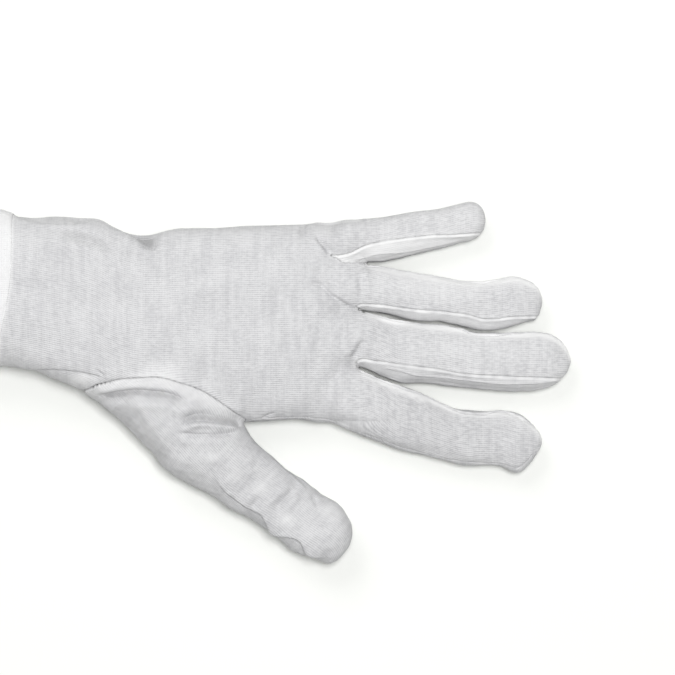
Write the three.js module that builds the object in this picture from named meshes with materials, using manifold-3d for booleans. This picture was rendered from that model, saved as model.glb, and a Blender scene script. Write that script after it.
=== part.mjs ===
// White knit cotton dress glove for a right hand, in its worn shape, lying palm up on its back.
// Millimetres. +X runs from the cuff to the fingertips, +Y to the little finger, +Z up from the palm.
// The tables measure X from the cuff's mouth and Y from the middle of the palm, and the origin is
// moved at the end to the middle of the foot of the whole glove.

import * as THREE from 'three';
import { mergeVertices } from 'three/addons/utils/BufferGeometryUtils.js';
import Module from 'manifold-3d';

// Cloth and seams
const WALL = 1.2;                // knitted cloth
const SEAM_GAP = 0.3;            // between two sewn pieces
const HEM_DEPTH = 18;            // turned hem at the cuff's mouth
const HEM_WALL = 2.4;            // two layers of cloth
const HEM_PROUD = 0.3;           // the hem stands this far out of the cuff
const FRONT_SEAM_INSET = 1.8;    // palm-side seam, in from the finger's far edge
const BACK_SEAM_FAR = 5;         // back seam, in from the finger's far edge
const BACK_SEAM_NEAR = 2.5;      // back seam, in from the finger's near edge
const TIP_SEAM_END = 3;          // the far seam ends this short of the fingertip

// Fineness of the facets
const STEP = 7;                  // usual step along a tube
const TRUNK_SIDES = 26;
const FINGER_SIDES = 12;
const THUMB_SIDES = 16;

// Roundness of the sections: 2 is an ellipse, more is boxier
const TRUNK_ROUNDNESS = 2.5;
const FINGER_ROUNDNESS = 2.35;
const THUMB_ROUNDNESS = 2.2;

// Reach of the cutting blocks, past everything
const REACH = { low: -20, high: 70, near: -140, far: 80, start: -20, end: 290 };

const CLOTH = { color: 0xe4e6e8, roughness: 0.95, metalness: 0 };
const CLOTH_SHADE = { color: 0xd9dbde, roughness: 0.95, metalness: 0 };

// A table is a row for each section, with its columns named once
function table(columns, rows) {
  return rows.map((row) => Object.fromEntries(row.map((value, i) => [columns[i], value])));
}

// Cuff and hand: far is the little-finger edge, near the thumb's, low and high the underside and top
const TRUNK = table(['x', 'far', 'near', 'low', 'high'], [
  [0, 46.6, -19.0, 3.0, 41.0],
  [15, 45.8, -19.4, 3.0, 41.0],
  [28, 42.6, -20.0, 3.0, 40.5],
  [40, 43.0, -25.0, 2.8, 40.0],
  [49, 42.6, -28.5, 2.6, 39.3],
  [57, 42.0, -32.5, 2.4, 38.5],
  [63, 38.9, -35.0, 2.0, 37.8],
  [70, 35.9, -36.5, 1.6, 37.0],
  [77, 35.1, -38.0, 1.0, 36.2],
  [84, 36.6, -39.5, 0.3, 35.4],
  [91, 38.2, -40.5, -0.5, 34.6],
  [104, 38.3, -42.0, -1.3, 33.0],
  [119, 39.4, -42.6, -1.6, 31.2],
  [141, 39.9, -41.8, -1.4, 28.2],
  [149, 41.0, -42.8, -0.8, 26.0],
  [155, 39.5, -42.0, 1.5, 23.0],
  [160, 35.5, -38.0, 6.0, 16.5],
]);

// Fingers: seam is the palm-side seam on the near edge's side
const FINGER_COLUMNS = ['x', 'far', 'near', 'low', 'high', 'seam'];

const LITTLE = table(FINGER_COLUMNS, [
  [150, 40.0, 22.0, 1.0, 23.0, 26.2],
  [158, 41.8, 22.6, -0.6, 23.2, 27.2],
  [166, 42.2, 24.4, -0.2, 21.2, 30.2],
  [175, 43.1, 24.4, 0.5, 19.2, 33.0],
  [183, 44.1, 26.0, 1.0, 18.0, 34.2],
  [191.5, 45.6, 27.9, 1.4, 17.2, 35.2],
  [200, 46.8, 29.8, 1.8, 16.8, 35.6],
  [208, 48.8, 32.3, 2.4, 16.6, 35.8],
  [212.5, 49.7, 33.4, 3.0, 16.2, 36.2],
  [216, 48.6, 35.5, 4.2, 15.0, 36.8],
  [218, 46.2, 37.6, 6.0, 13.2, 37.8],
  [218.9, 43.2, 40.6, 8.4, 10.8, 40.8],
]);

const RING = table(FINGER_COLUMNS, [
  [150, 25.6, 1.4, 0.2, 23.6, 4.4],
  [158, 25.2, 2.2, -0.6, 23.6, 4.4],
  [166, 23.7, 4.2, -0.2, 21.8, 4.9],
  [175, 22.4, 3.0, 0.5, 19.8, 4.9],
  [183, 21.0, 1.2, 1.0, 18.6, 4.3],
  [191.5, 19.5, -0.4, 1.4, 18.0, 3.8],
  [200, 18.1, -0.8, 1.8, 17.6, 3.7],
  [208, 16.4, -2.4, 2.2, 17.2, 2.7],
  [216.5, 16.0, -4.2, 2.6, 17.2, 0.6],
  [225, 17.0, -3.8, 3.0, 17.2, 0.6],
  [231.5, 18.0, -2.3, 3.4, 16.8, 1.4],
  [237.5, 16.0, -0.6, 4.6, 15.6, 1.6],
  [241, 13.4, 1.4, 6.4, 13.8, 2.6],
  [242.6, 9.2, 6.0, 8.8, 11.4, 6.4],
]);

const MIDDLE = table(FINGER_COLUMNS, [
  [150, 7.2, -21.6, 0.2, 23.8, -17.0],
  [158, 6.4, -21.8, -0.6, 24.0, -17.0],
  [166, 3.8, -19.6, -0.2, 22.4, -17.2],
  [175, 1.7, -23.4, 0.5, 20.6, -17.8],
  [183, 0.0, -26.3, 1.0, 19.4, -18.6],
  [191.5, -1.6, -26.5, 1.4, 18.8, -19.8],
  [200, -2.0, -27.3, 1.8, 18.4, -21.1],
  [208, -3.4, -28.5, 2.2, 18.0, -22.3],
  [216.5, -5.5, -29.2, 2.4, 18.0, -23.1],
  [233, -5.3, -29.4, 3.0, 17.8, -24.3],
  [242, -5.3, -29.0, 3.4, 17.4, -24.7],
  [248, -7.1, -26.9, 4.4, 16.2, -24.6],
  [252.6, -11.0, -22.6, 6.6, 13.8, -21.8],
  [254.6, -15.6, -18.4, 8.8, 11.4, -18.2],
]);

const INDEX = table(FINGER_COLUMNS, [
  [150, -17.0, -41.6, 1.0, 23.0, -41.0],
  [158, -17.6, -45.0, -0.6, 23.6, -44.0],
  [166, -20.8, -48.0, -0.2, 22.0, -47.0],
  [175, -24.6, -51.3, 0.5, 20.4, -50.0],
  [183, -27.3, -54.2, 1.0, 19.4, -53.0],
  [191.5, -30.7, -56.5, 1.4, 18.8, -55.0],
  [200, -34.5, -58.8, 1.8, 18.4, -57.0],
  [208, -37.5, -60.2, 2.2, 18.0, -59.0],
  [216.5, -38.4, -60.9, 2.6, 17.8, -60.0],
  [225, -38.2, -61.6, 3.0, 17.6, -60.0],
  [232, -39.8, -63.6, 3.4, 17.0, -60.0],
  [237, -43.0, -60.6, 4.8, 15.6, -58.0],
  [241, -46.6, -55.6, 6.8, 13.6, -54.0],
  [242.6, -49.8, -52.4, 8.8, 11.4, -52.0],
]);

// Thumb: its edge towards the index finger (far) and its outer edge (near), both in plan
const THUMB = table(['farX', 'farY', 'nearX', 'nearY', 'low', 'high'], [
  [80.0, -10.0, 54.5, -31.0, 8.0, 30.0],
  [88.0, -14.5, 61.5, -38.2, 4.0, 33.6],
  [96.0, -20.0, 68.5, -45.0, 2.4, 35.0],
  [104.0, -26.5, 77.0, -53.2, 1.8, 34.6],
  [111.0, -34.5, 86.5, -62.0, 2.0, 33.0],
  [116.5, -42.0, 94.0, -68.0, 2.5, 31.2],
  [121.5, -49.5, 101.5, -73.0, 3.1, 29.8],
  [128.5, -56.8, 109.0, -77.6, 3.7, 28.5],
  [136.0, -62.8, 117.5, -82.3, 4.5, 27.4],
  [145.0, -69.5, 127.6, -88.2, 5.2, 26.4],
  [150.4, -73.8, 132.8, -93.0, 5.4, 26.2],
  [156.4, -77.8, 138.4, -97.2, 5.6, 26.0],
  [160.8, -82.2, 144.4, -99.9, 6.2, 25.0],
  [162.6, -87.4, 149.6, -101.6, 7.6, 23.0],
  [162.0, -93.0, 153.4, -102.2, 9.6, 20.4],
  [159.4, -97.6, 156.2, -100.8, 12.2, 17.6],
]);

// Folds in the cloth on top: a trough (or, with a depth below zero, a ridge) along a line in plan
const FOLDS = table(['x0', 'y0', 'x1', 'y1', 'halfWidth', 'depth'], [
  [64.0, 37.0, 80.0, 30.0, 3.4, 2.4],       // wrist notch, slanting into the palm
  [60.0, 32.0, 74.0, 25.0, 3.6, -1.0],      // roll of cloth before the notch
  [62.0, -31.0, 92.0, -32.4, 3.0, 2.2],     // under the thumb's arc
  [94.0, -42.0, 117.0, -43.0, 2.8, 2.4],    // towards the thumb's crotch
  [94.0, -50.0, 117.0, -50.0, 2.8, 1.4],    // second trough at the crotch
  [149.0, 36.0, 157.0, 27.0, 2.6, 1.6],     // crease from the little finger's crotch
  [150.0, 17.0, 165.0, 5.5, 2.6, 1.4],      // crease from the ring finger's crotch
  [104.0, -8.0, 128.0, -4.0, 22.0, 1.8],    // hollow of the palm
]);

// Thumb's seam in plan: an arc on the palm side, a flat bow along the edge of the back
const THUMB_ARC = table(['x', 'y'], [
  [52.9, -28.8],
  [64.6, -25.1],
  [80.0, -24.0],
  [100.5, -30.0],
  [119.8, -43.3],
]);
const THUMB_BACK_LINE = table(['x', 'y'], [
  [52.9, -28.8],
  [66.0, -32.0],
  [83.0, -35.0],
  [101.0, -37.8],
  [119.8, -43.3],
]);
// From the thumb's crotch the cut runs out between thumb and index finger, and back round the outside
const THUMB_CLEAR = table(['x', 'y'], [
  [124.5, -46.5],
  [142.0, -58.5],
  [160.0, -71.0],
  [178.0, -88.0],
  [178.0, -125.0],
  [30.0, -125.0],
  [30.0, -36.0],
]);

// Crotches between the fingers, where the side strips begin, and where the cut runs past the tips
const CROTCHES = {
  ringLittle: { x: 153.0, y: 27.2, tips: [[222, 33.5], [245, 20]] },
  middleRing: { x: 160.5, y: 4.6, tips: [[245, 1.6], [257, -5]] },
  indexMiddle: { x: 159.5, y: -18.6, tips: [[258, -27], [247, -42]] },
};
const STRIP_START = 1.4;         // width of a side strip at its crotch
const OVERLAP = 1;               // the palm-side and back halves of a cut share this height

// Height of the side seam between palm and back
const PARTING = table(['x', 'z'], [
  [REACH.start, 21],
  [50, 21],
  [90, 17],
  [130, 14],
  [166, 10.5],
  [200, 9.8],
  [REACH.end, 10],
]);

const wasm = await Module();
wasm.setup();

// Geometry to solid and back
function solid(geometry) {
  geometry.deleteAttribute('normal');
  geometry.deleteAttribute('uv');
  const merged = mergeVertices(geometry, 1e-4);
  return new wasm.Manifold(new wasm.Mesh({
    numProp: 3,
    vertProperties: new Float32Array(merged.attributes.position.array),
    triVerts: new Uint32Array(merged.index.array),
  }));
}

function geometryOf(manifold) {
  const mesh = manifold.getMesh();
  const geometry = new THREE.BufferGeometry();
  geometry.setAttribute('position', new THREE.Float32BufferAttribute(mesh.vertProperties, 3));
  geometry.setIndex(Array.from(mesh.triVerts));
  return geometry;
}

// How far the folds lower the top at a place in plan
function foldAt(x, y) {
  let sum = 0;
  for (const fold of FOLDS) {
    const start = new THREE.Vector2(fold.x0, fold.y0);
    const along = new THREE.Vector2(fold.x1, fold.y1).sub(start);
    const offset = new THREE.Vector2(x, y).sub(start);
    const share = THREE.MathUtils.clamp(offset.dot(along) / along.lengthSq(), 0, 1);
    const distance = offset.sub(along.multiplyScalar(share)).length();
    sum += fold.depth * Math.exp(-((distance / fold.halfWidth) ** 2));
  }
  return sum;
}

function power(value, exponent) {
  return Math.sign(value) * Math.abs(value) ** exponent;
}

// Rings of points along a tube, from its table. The underside is flat where it meets the floor.
function rings(rows, sides, roundness) {
  const far = rows.map((row) => new THREE.Vector3(row.farX ?? row.x, row.farY ?? row.far, row.high));
  const near = rows.map((row) => new THREE.Vector3(row.nearX ?? row.x, row.nearY ?? row.near, row.low));
  const farEdge = new THREE.CatmullRomCurve3(far, false, 'catmullrom');
  const nearEdge = new THREE.CatmullRomCurve3(near, false, 'catmullrom');
  const intervals = rows.length - 1;
  const stations = [0];
  for (let i = 0; i < intervals; i += 1) {
    const length = far[i].clone().add(near[i]).distanceTo(far[i + 1].clone().add(near[i + 1])) / 2;
    const steps = Math.max(1, Math.round(length / STEP));
    for (let s = 1; s <= steps; s += 1) {
      stations.push((i + s / steps) / intervals);
    }
  }
  return stations.map((share) => {
    const a = farEdge.getPoint(share);
    const b = nearEdge.getPoint(share);
    const points = [];
    for (let side = 0; side < sides; side += 1) {
      const angle = ((side + 0.5) / sides) * Math.PI * 2;
      const across = power(Math.cos(angle), 2 / roundness);
      const up = power(Math.sin(angle), 2 / roundness);
      const point = a.clone().add(b).multiplyScalar(0.5);
      point.x += ((a.x - b.x) / 2) * across;
      point.y += ((a.y - b.y) / 2) * across;
      point.z += ((a.z - b.z) / 2) * up;
      point.z -= Math.max(0, up) * foldAt(point.x, point.y);
      point.z = Math.max(0, point.z);
      points.push(point);
    }
    return points;
  });
}

// The same rings moved in along the surface's own normals (or out, with a depth below zero)
function inset(grid, depth) {
  const last = grid.length - 1;
  return grid.map((ring, i) => ring.map((point, j) => {
    const forward = grid[Math.min(i + 1, last)][j].clone().sub(grid[Math.max(i - 1, 0)][j]);
    const round = ring[(j + 1) % ring.length].clone().sub(ring[(j + ring.length - 1) % ring.length]);
    const normal = round.cross(forward).normalize();
    return point.clone().addScaledVector(normal, -depth);
  }));
}

// Skin over the rings, with a fan at each end
function loft(grid) {
  const sides = grid[0].length;
  const points = grid.flat();
  const middle = (ring) => ring.reduce((sum, point) => sum.add(point), new THREE.Vector3())
    .divideScalar(sides);
  const start = points.push(middle(grid[0])) - 1;
  const end = points.push(middle(grid[grid.length - 1])) - 1;
  const faces = [];
  for (let i = 0; i < grid.length - 1; i += 1) {
    for (let j = 0; j < sides; j += 1) {
      const a = i * sides + j;
      const b = i * sides + ((j + 1) % sides);
      faces.push(a, b, b + sides, a, b + sides, a + sides);
    }
  }
  const base = (grid.length - 1) * sides;
  for (let j = 0; j < sides; j += 1) {
    const next = (j + 1) % sides;
    faces.push(start, next, j);
    faces.push(end, base + j, base + next);
  }
  const geometry = new THREE.BufferGeometry().setFromPoints(points);
  geometry.setIndex(faces);
  return solid(geometry);
}

// Outer and inner solid of a tube. The inner one stops a ring short of a closed tip.
function tube(rows, sides, roundness, openStart) {
  const grid = rings(rows, sides, roundness);
  const hollow = inset(grid, WALL).slice(0, -1);
  if (openStart) {
    hollow.unshift(hollow[0].map((point) => new THREE.Vector3(REACH.start, point.y, point.z)));
  }
  return { grid, outer: loft(grid), inner: loft(hollow) };
}

// Block over an outline in plan
function prism(outline, low, high) {
  const shape = new THREE.Shape(outline.map(([x, y]) => new THREE.Vector2(x, y)));
  const geometry = new THREE.ExtrudeGeometry(shape, { depth: high - low, bevelEnabled: false });
  geometry.translate(0, 0, low);
  return solid(geometry);
}

// Everything above the parting line raised by an offset, or below it
function besideParting(offset, above) {
  const line = PARTING.map((row) => new THREE.Vector2(row.x, row.z + offset));
  const end = above ? REACH.high : REACH.low;
  const shape = new THREE.Shape([
    ...line,
    new THREE.Vector2(REACH.end, end),
    new THREE.Vector2(REACH.start, end),
  ]);
  const depth = REACH.far - REACH.near;
  const geometry = new THREE.ExtrudeGeometry(shape, { depth, bevelEnabled: false });
  geometry.rotateX(Math.PI / 2);
  geometry.translate(0, REACH.far, 0);
  return solid(geometry);
}

// Value of a table's column at x
function valueAt(rows, column, x) {
  const next = rows.findIndex((row) => row.x >= x);
  if (next <= 0) return rows[0][column];
  const a = rows[next - 1];
  const b = rows[next];
  return THREE.MathUtils.mapLinear(x, a.x, b.x, a[column], b[column]);
}

// Space of a side strip between two fingers: its palm-side and back outlines differ
function stripSpace(upper, lower, crotch, grow) {
  const seamRows = (finger, end) => finger.filter((row) => row.x > crotch.x + 1 && row.x < end);
  const upperEnd = upper[upper.length - 1].x;
  const lowerEnd = lower[lower.length - 1].x;
  const upperRows = seamRows(upper, upperEnd - 0.5);
  const lowerRows = seamRows(lower, lowerEnd - TIP_SEAM_END).reverse();
  const outline = (upperSeam, lowerSeam) => [
    [crotch.x - grow, crotch.y - STRIP_START / 2 - grow],
    [crotch.x - grow, crotch.y + STRIP_START / 2 + grow],
    ...upperRows.map((row) => [row.x, upperSeam(row) + grow]),
    [upperEnd + 1, upper[upper.length - 1].near],
    ...crotch.tips,
    [lowerEnd - TIP_SEAM_END, lower.find((row) => row.x > lowerEnd - TIP_SEAM_END).far + 3],
    ...lowerRows.map((row) => [row.x, lowerSeam(row) - grow]),
  ];
  const palmSide = outline((row) => row.seam, (row) => row.far - FRONT_SEAM_INSET);
  const backSide = outline((row) => row.near + BACK_SEAM_NEAR, (row) => row.far - BACK_SEAM_FAR);
  const middle = valueAt(PARTING, 'z', crotch.x);
  return prism(palmSide, middle - OVERLAP, REACH.high).add(prism(backSide, REACH.low, middle));
}

function thumbSpace(grow) {
  const outline = (line) => [
    ...line.map((row) => [row.x, row.y + grow]),
    ...THUMB_CLEAR.map((row) => [row.x, row.y + grow]),
  ];
  const middle = valueAt(PARTING, 'z', THUMB_ARC[2].x);
  return prism(outline(THUMB_ARC), middle - OVERLAP, REACH.high)
    .add(prism(outline(THUMB_BACK_LINE), REACH.low, middle));
}

// Everything on the cuff's side of a cross plane
function cuffSideOf(x) {
  const outline = [
    [REACH.start - 1, REACH.near],
    [x, REACH.near],
    [x, REACH.far],
    [REACH.start - 1, REACH.far],
  ];
  return prism(outline, REACH.low, REACH.high);
}

// Whole hollow glove
const trunk = tube(TRUNK, TRUNK_SIDES, TRUNK_ROUNDNESS, true);
const branches = [
  tube(LITTLE, FINGER_SIDES, FINGER_ROUNDNESS, false),
  tube(RING, FINGER_SIDES, FINGER_ROUNDNESS, false),
  tube(MIDDLE, FINGER_SIDES, FINGER_ROUNDNESS, false),
  tube(INDEX, FINGER_SIDES, FINGER_ROUNDNESS, false),
  tube(THUMB, THUMB_SIDES, THUMB_ROUNDNESS, false),
];
const outer = branches.reduce((sum, branch) => sum.add(branch.outer), trunk.outer);
const inner = branches.reduce((sum, branch) => sum.add(branch.inner), trunk.inner);
const glove = outer.subtract(inner).subtract(cuffSideOf(HEM_DEPTH + SEAM_GAP));

// Spaces of the side strips, and the two panels that are left when they and the thumb are cut out
const strips = {
  fourchette_ring_little: (grow) => stripSpace(LITTLE, RING, CROTCHES.ringLittle, grow),
  fourchette_middle_ring: (grow) => stripSpace(RING, MIDDLE, CROTCHES.middleRing, grow),
  fourchette_index_middle: (grow) => stripSpace(MIDDLE, INDEX, CROTCHES.indexMiddle, grow),
};
let panels = glove.subtract(thumbSpace(SEAM_GAP));
for (const space of Object.values(strips)) {
  panels = panels.subtract(space(SEAM_GAP));
}

// Turned hem: a ring of double cloth at the cuff's mouth
function hem() {
  const past = trunk.grid.findIndex((ring) => ring[0].x > HEM_DEPTH);
  const cuff = trunk.grid.slice(0, past + 1);
  const outside = loft(inset(cuff, -HEM_PROUD));
  const inside = inset(cuff, HEM_WALL - HEM_PROUD);
  inside.unshift(inside[0].map((point) => new THREE.Vector3(REACH.start, point.y, point.z)));
  return outside.subtract(loft(inside)).intersect(cuffSideOf(HEM_DEPTH));
}

const solids = {
  palm_panel: panels.intersect(besideParting(SEAM_GAP / 2, true)),
  back_panel: panels.intersect(besideParting(-SEAM_GAP / 2, false)),
  thumb: glove.intersect(thumbSpace(0)),
  cuff_hem: hem(),
};
for (const [name, space] of Object.entries(strips)) {
  solids[name] = glove.intersect(space(0));
}

const group = new THREE.Group();
for (const [name, manifold] of Object.entries(solids)) {
  const finish = name.startsWith('fourchette') ? CLOTH_SHADE : CLOTH;
  const mesh = new THREE.Mesh(geometryOf(manifold), new THREE.MeshStandardMaterial(finish));
  mesh.name = name;
  group.add(mesh);
}

const box = new THREE.Box3().setFromObject(group);
const centre = box.getCenter(new THREE.Vector3());
group.position.set(-centre.x, -centre.y, -box.min.z);

export default group;
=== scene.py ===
# %% [markdown]
# # A white knit cotton glove
# This is a thin inspection or dress glove for a right hand, bleached white. It lies palm up on its
# back and keeps the round shape that it has when it is worn. It is cut from fine cotton jersey: a
# palm, a back, a thumb with its gusset, three narrow strips between the fingers, and a turned hem.
# A glove could be sculpted by hand or draped by a cloth simulation. Here the whole skin is made
# first, from measured sections, and is then cut along the seam lines as a cutter cuts cloth, so
# every seam lies exactly where two pieces meet.

import math

import bpy
import numpy as np
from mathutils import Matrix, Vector


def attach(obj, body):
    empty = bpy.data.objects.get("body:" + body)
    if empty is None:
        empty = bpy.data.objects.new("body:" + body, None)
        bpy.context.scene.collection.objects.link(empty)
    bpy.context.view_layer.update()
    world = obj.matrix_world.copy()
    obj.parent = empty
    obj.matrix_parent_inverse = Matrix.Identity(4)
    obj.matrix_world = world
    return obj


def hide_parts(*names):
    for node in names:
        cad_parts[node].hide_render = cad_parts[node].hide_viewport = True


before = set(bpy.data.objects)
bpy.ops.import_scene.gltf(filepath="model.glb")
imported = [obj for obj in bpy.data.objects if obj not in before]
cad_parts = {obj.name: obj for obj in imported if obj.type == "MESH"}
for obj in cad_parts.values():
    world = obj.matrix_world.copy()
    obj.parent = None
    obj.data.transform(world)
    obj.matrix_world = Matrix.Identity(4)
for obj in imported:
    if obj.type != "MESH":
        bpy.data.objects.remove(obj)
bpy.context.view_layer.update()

# %% [markdown]
# ## Millimetres
# The sections below are in millimetres, with X from the cuff's mouth to the fingertips, Y towards
# the little finger and Z up. Blender works in metres, and the part's origin is under its middle, so
# one function takes every point across.

# %% From the glove's millimetres to Blender's metres
ORIGIN = np.array([127.304, -26.33, 0.0])  # the part's origin, in the glove's millimetres


def to_metres(points):
    return (np.asarray(points, float) - ORIGIN) * 0.001


print("fingertip of the middle finger at", to_metres([254.6, -17.0, 10.0]).round(4))

# %% [markdown]
# ## Camera
# The glove is seen from straight above, as a product picture of flat goods is taken. A long lens
# from far away keeps the tall cuff and the low fingertips at nearly one scale. The picture is
# square, and its width at the height of the glove is 283.5 mm.

# %% Camera straight above
VIEWED = np.array([156.75, -7.35, 12.0])  # middle of the picture, in the glove's millimetres
VIEW_WIDTH = 0.2835
VIEW_DISTANCE = 1.6

camera_data = bpy.data.cameras.new("camera")
camera_data.sensor_width = 36.0
camera_data.lens = camera_data.sensor_width * VIEW_DISTANCE / VIEW_WIDTH
camera_data.clip_end = 20.0
camera = bpy.data.objects.new("camera", camera_data)
camera.location = to_metres(VIEWED) + np.array([0.0, 0.0, VIEW_DISTANCE])
bpy.context.scene.collection.objects.link(camera)
bpy.context.scene.camera = camera
print("lens", round(camera_data.lens, 1), "mm")

# %% [markdown]
# ## Sections of the hand
# A worn glove is six tubes: the cuff with the hand, four fingers and the thumb. Each row is one
# section: where it is, its two edges in plan, and its lowest and highest point. Edges are easy to
# read from a picture taken from above. Heights aren't, so they are the usual ones for a glove of
# this size. The first rows of a finger lie inside the hand, so that the two melt together.

# %% Rows for the cuff and the hand
HAND_ROWS = [
    # x, far, near, low, high
    [-12, 46.6, -19.0, 3.0, 41.0], [0, 46.6, -19.0, 3.0, 41.0], [15, 45.8, -19.4, 3.0, 41.0],
    [28, 42.6, -20.0, 3.0, 40.5], [40, 43.0, -25.0, 2.8, 40.0], [49, 42.6, -28.5, 2.6, 39.3],
    [57, 42.0, -32.5, 2.4, 38.5], [63, 38.9, -35.0, 2.0, 37.8], [70, 35.9, -36.5, 1.6, 37.0],
    [77, 35.1, -38.0, 1.0, 36.2], [84, 36.6, -39.5, 0.3, 35.4], [91, 38.2, -40.5, -0.5, 34.6],
    [104, 38.3, -42.0, -1.3, 33.0], [119, 39.4, -42.6, -1.6, 31.2], [141, 39.9, -41.8, -1.4, 28.2],
    [149, 41.0, -42.8, -0.8, 26.0], [155, 39.5, -42.0, 1.5, 23.0], [160, 35.5, -38.0, 6.0, 16.5],
]
print("width at the narrowest part of the wrist:", round(min(r[1] - r[2] for r in HAND_ROWS), 1))

# %% Rows for the fingers
LITTLE_ROWS = [
    # x, far, near, low, high
    [150, 38.6, 23.0, 1.0, 20.2], [158, 41.8, 22.6, -0.6, 23.2], [166, 42.2, 24.4, -0.2, 21.2],
    [175, 43.1, 24.4, 0.5, 19.2], [183, 44.1, 26.0, 1.0, 18.0], [191.5, 45.6, 27.9, 1.4, 17.2],
    [200, 46.8, 29.8, 1.8, 16.8], [208, 48.8, 32.3, 2.4, 16.6], [212.5, 49.7, 33.4, 3.0, 16.2],
    [216, 48.6, 35.5, 4.2, 15.0], [218, 46.2, 37.6, 6.0, 13.2], [218.9, 43.2, 40.6, 8.4, 10.8],
]
RING_ROWS = [
    [150, 25.6, 1.4, 0.2, 23.6], [158, 25.2, 2.2, -0.6, 23.6], [166, 23.7, 4.2, -0.2, 21.8],
    [175, 22.4, 3.0, 0.5, 19.8], [183, 21.0, 1.2, 1.0, 18.6], [191.5, 19.5, -0.4, 1.4, 18.0],
    [200, 18.1, -0.8, 1.8, 17.6], [208, 16.4, -2.4, 2.2, 17.2], [216.5, 16.0, -4.2, 2.6, 17.2],
    [225, 17.0, -3.8, 3.0, 17.2], [231.5, 18.0, -2.3, 3.4, 16.8], [237.5, 16.0, -0.6, 4.6, 15.6],
    [241, 13.4, 1.4, 6.4, 13.8], [242.6, 9.2, 6.0, 8.8, 11.4],
]
MIDDLE_ROWS = [
    [150, 7.2, -21.6, 0.2, 23.8], [158, 6.4, -21.8, -0.6, 24.0], [166, 3.8, -19.6, -0.2, 22.4],
    [175, 1.7, -23.4, 0.5, 20.6], [183, 0.0, -26.3, 1.0, 19.4], [191.5, -1.6, -26.5, 1.4, 18.8],
    [200, -2.0, -27.3, 1.8, 18.4], [208, -3.4, -28.5, 2.2, 18.0], [216.5, -5.5, -29.2, 2.4, 18.0],
    [233, -5.3, -29.4, 3.0, 17.8], [242, -5.3, -29.0, 3.4, 17.4], [248, -7.1, -26.9, 4.4, 16.2],
    [252.6, -11.0, -22.6, 6.6, 13.8], [254.6, -15.6, -18.4, 8.8, 11.4],
]
INDEX_ROWS = [
    [150, -17.0, -40.6, 1.0, 21.6], [158, -17.6, -45.0, -0.6, 23.6],
    [166, -20.8, -48.0, -0.2, 22.0], [175, -24.6, -51.3, 0.5, 20.4],
    [183, -27.3, -54.2, 1.0, 19.4], [191.5, -30.7, -56.5, 1.4, 18.8],
    [200, -34.5, -58.8, 1.8, 18.4], [208, -37.5, -60.2, 2.2, 18.0],
    [216.5, -38.4, -60.9, 2.6, 17.8], [225, -38.2, -61.6, 3.0, 17.6],
    [232, -39.8, -63.6, 3.4, 17.0], [237, -43.0, -60.6, 4.8, 15.6],
    [241, -46.6, -55.6, 6.8, 13.6], [242.6, -49.8, -52.4, 8.8, 11.4],
]
FINGER_ROWS = [LITTLE_ROWS, RING_ROWS, MIDDLE_ROWS, INDEX_ROWS]
print("fingertips at x =", [rows[-1][0] for rows in FINGER_ROWS])

# %% Rows for the thumb
THUMB_ROWS = [
    # far x and y (towards the index finger), near x and y (outer edge), low, high
    [80.0, -10.0, 54.5, -31.0, 8.0, 30.0], [88.0, -14.5, 61.5, -38.2, 4.0, 33.6],
    [96.0, -20.0, 68.5, -45.0, 2.4, 35.0], [104.0, -26.5, 77.0, -53.2, 1.8, 34.6],
    [111.0, -34.5, 86.5, -62.0, 2.0, 33.0], [116.5, -42.0, 94.0, -68.0, 2.5, 31.2],
    [121.5, -49.5, 101.5, -73.0, 3.1, 29.8], [128.5, -56.8, 109.0, -77.6, 3.7, 28.5],
    [136.0, -62.8, 117.5, -82.3, 4.5, 27.4], [145.0, -69.5, 127.6, -88.2, 5.2, 26.4],
    [150.4, -73.8, 132.8, -93.0, 5.4, 26.2], [156.4, -77.8, 138.4, -97.2, 5.6, 26.0],
    [160.8, -82.2, 144.4, -99.9, 6.2, 25.0], [162.6, -87.4, 149.6, -101.6, 7.6, 23.0],
    [162.0, -93.0, 153.4, -102.2, 9.6, 20.4], [159.4, -97.6, 156.2, -100.8, 12.2, 17.6],
]
print("the thumb's rows are slanted:", len(THUMB_ROWS), "from the ball of the thumb to its tip")

# %% [markdown]
# ## Smooth edges
# Between the rows the edges run on in smooth curves. A spline through the rows keeps every measured
# place where it is. The second helper is a soft step, which fades shapes in and out without a kink.


# %% Smooth rows
BETWEEN = 12  # smooth rows from one measured row to the next


def smooth_rows(rows, between=BETWEEN):
    """Rows with smooth in-between rows added (a Catmull-Rom curve through them)."""
    rows = np.asarray(rows, float)
    padded = np.vstack([2 * rows[0] - rows[1], rows, 2 * rows[-1] - rows[-2]])
    t = np.arange(between)[:, None] / between
    parts = []
    for before, start, end, after in zip(padded, padded[1:], padded[2:], padded[3:]):
        bend = 2 * before - 5 * start + 4 * end - after
        twist = 3 * (start - end) + after - before
        parts.append(start + 0.5 * t * ((end - before) + t * (bend + t * twist)))
    parts.append(rows[-1:])
    return np.vstack(parts)


def ease(x, low, high):
    """0 below low, 1 above high, and a smooth slope between."""
    t = np.clip((x - low) / (high - low), 0, 1)
    return t * t * (3 - 2 * t)


print(len(HAND_ROWS), "rows of the hand become", len(smooth_rows(HAND_ROWS)))

# %% [markdown]
# ## Tubes
# Each section is a superellipse, which is an ellipse with fuller corners. Tubes could be lofted to
# meshes and joined with booleans, which leaves sharp creases. Here a tube only keeps its measures.
# They tell how far any point is from its cloth, and from that the tubes can be melted together.


# %% One tube of cloth
ANGLES = np.linspace(0, np.pi, 61)  # round half a section, from its top


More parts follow.
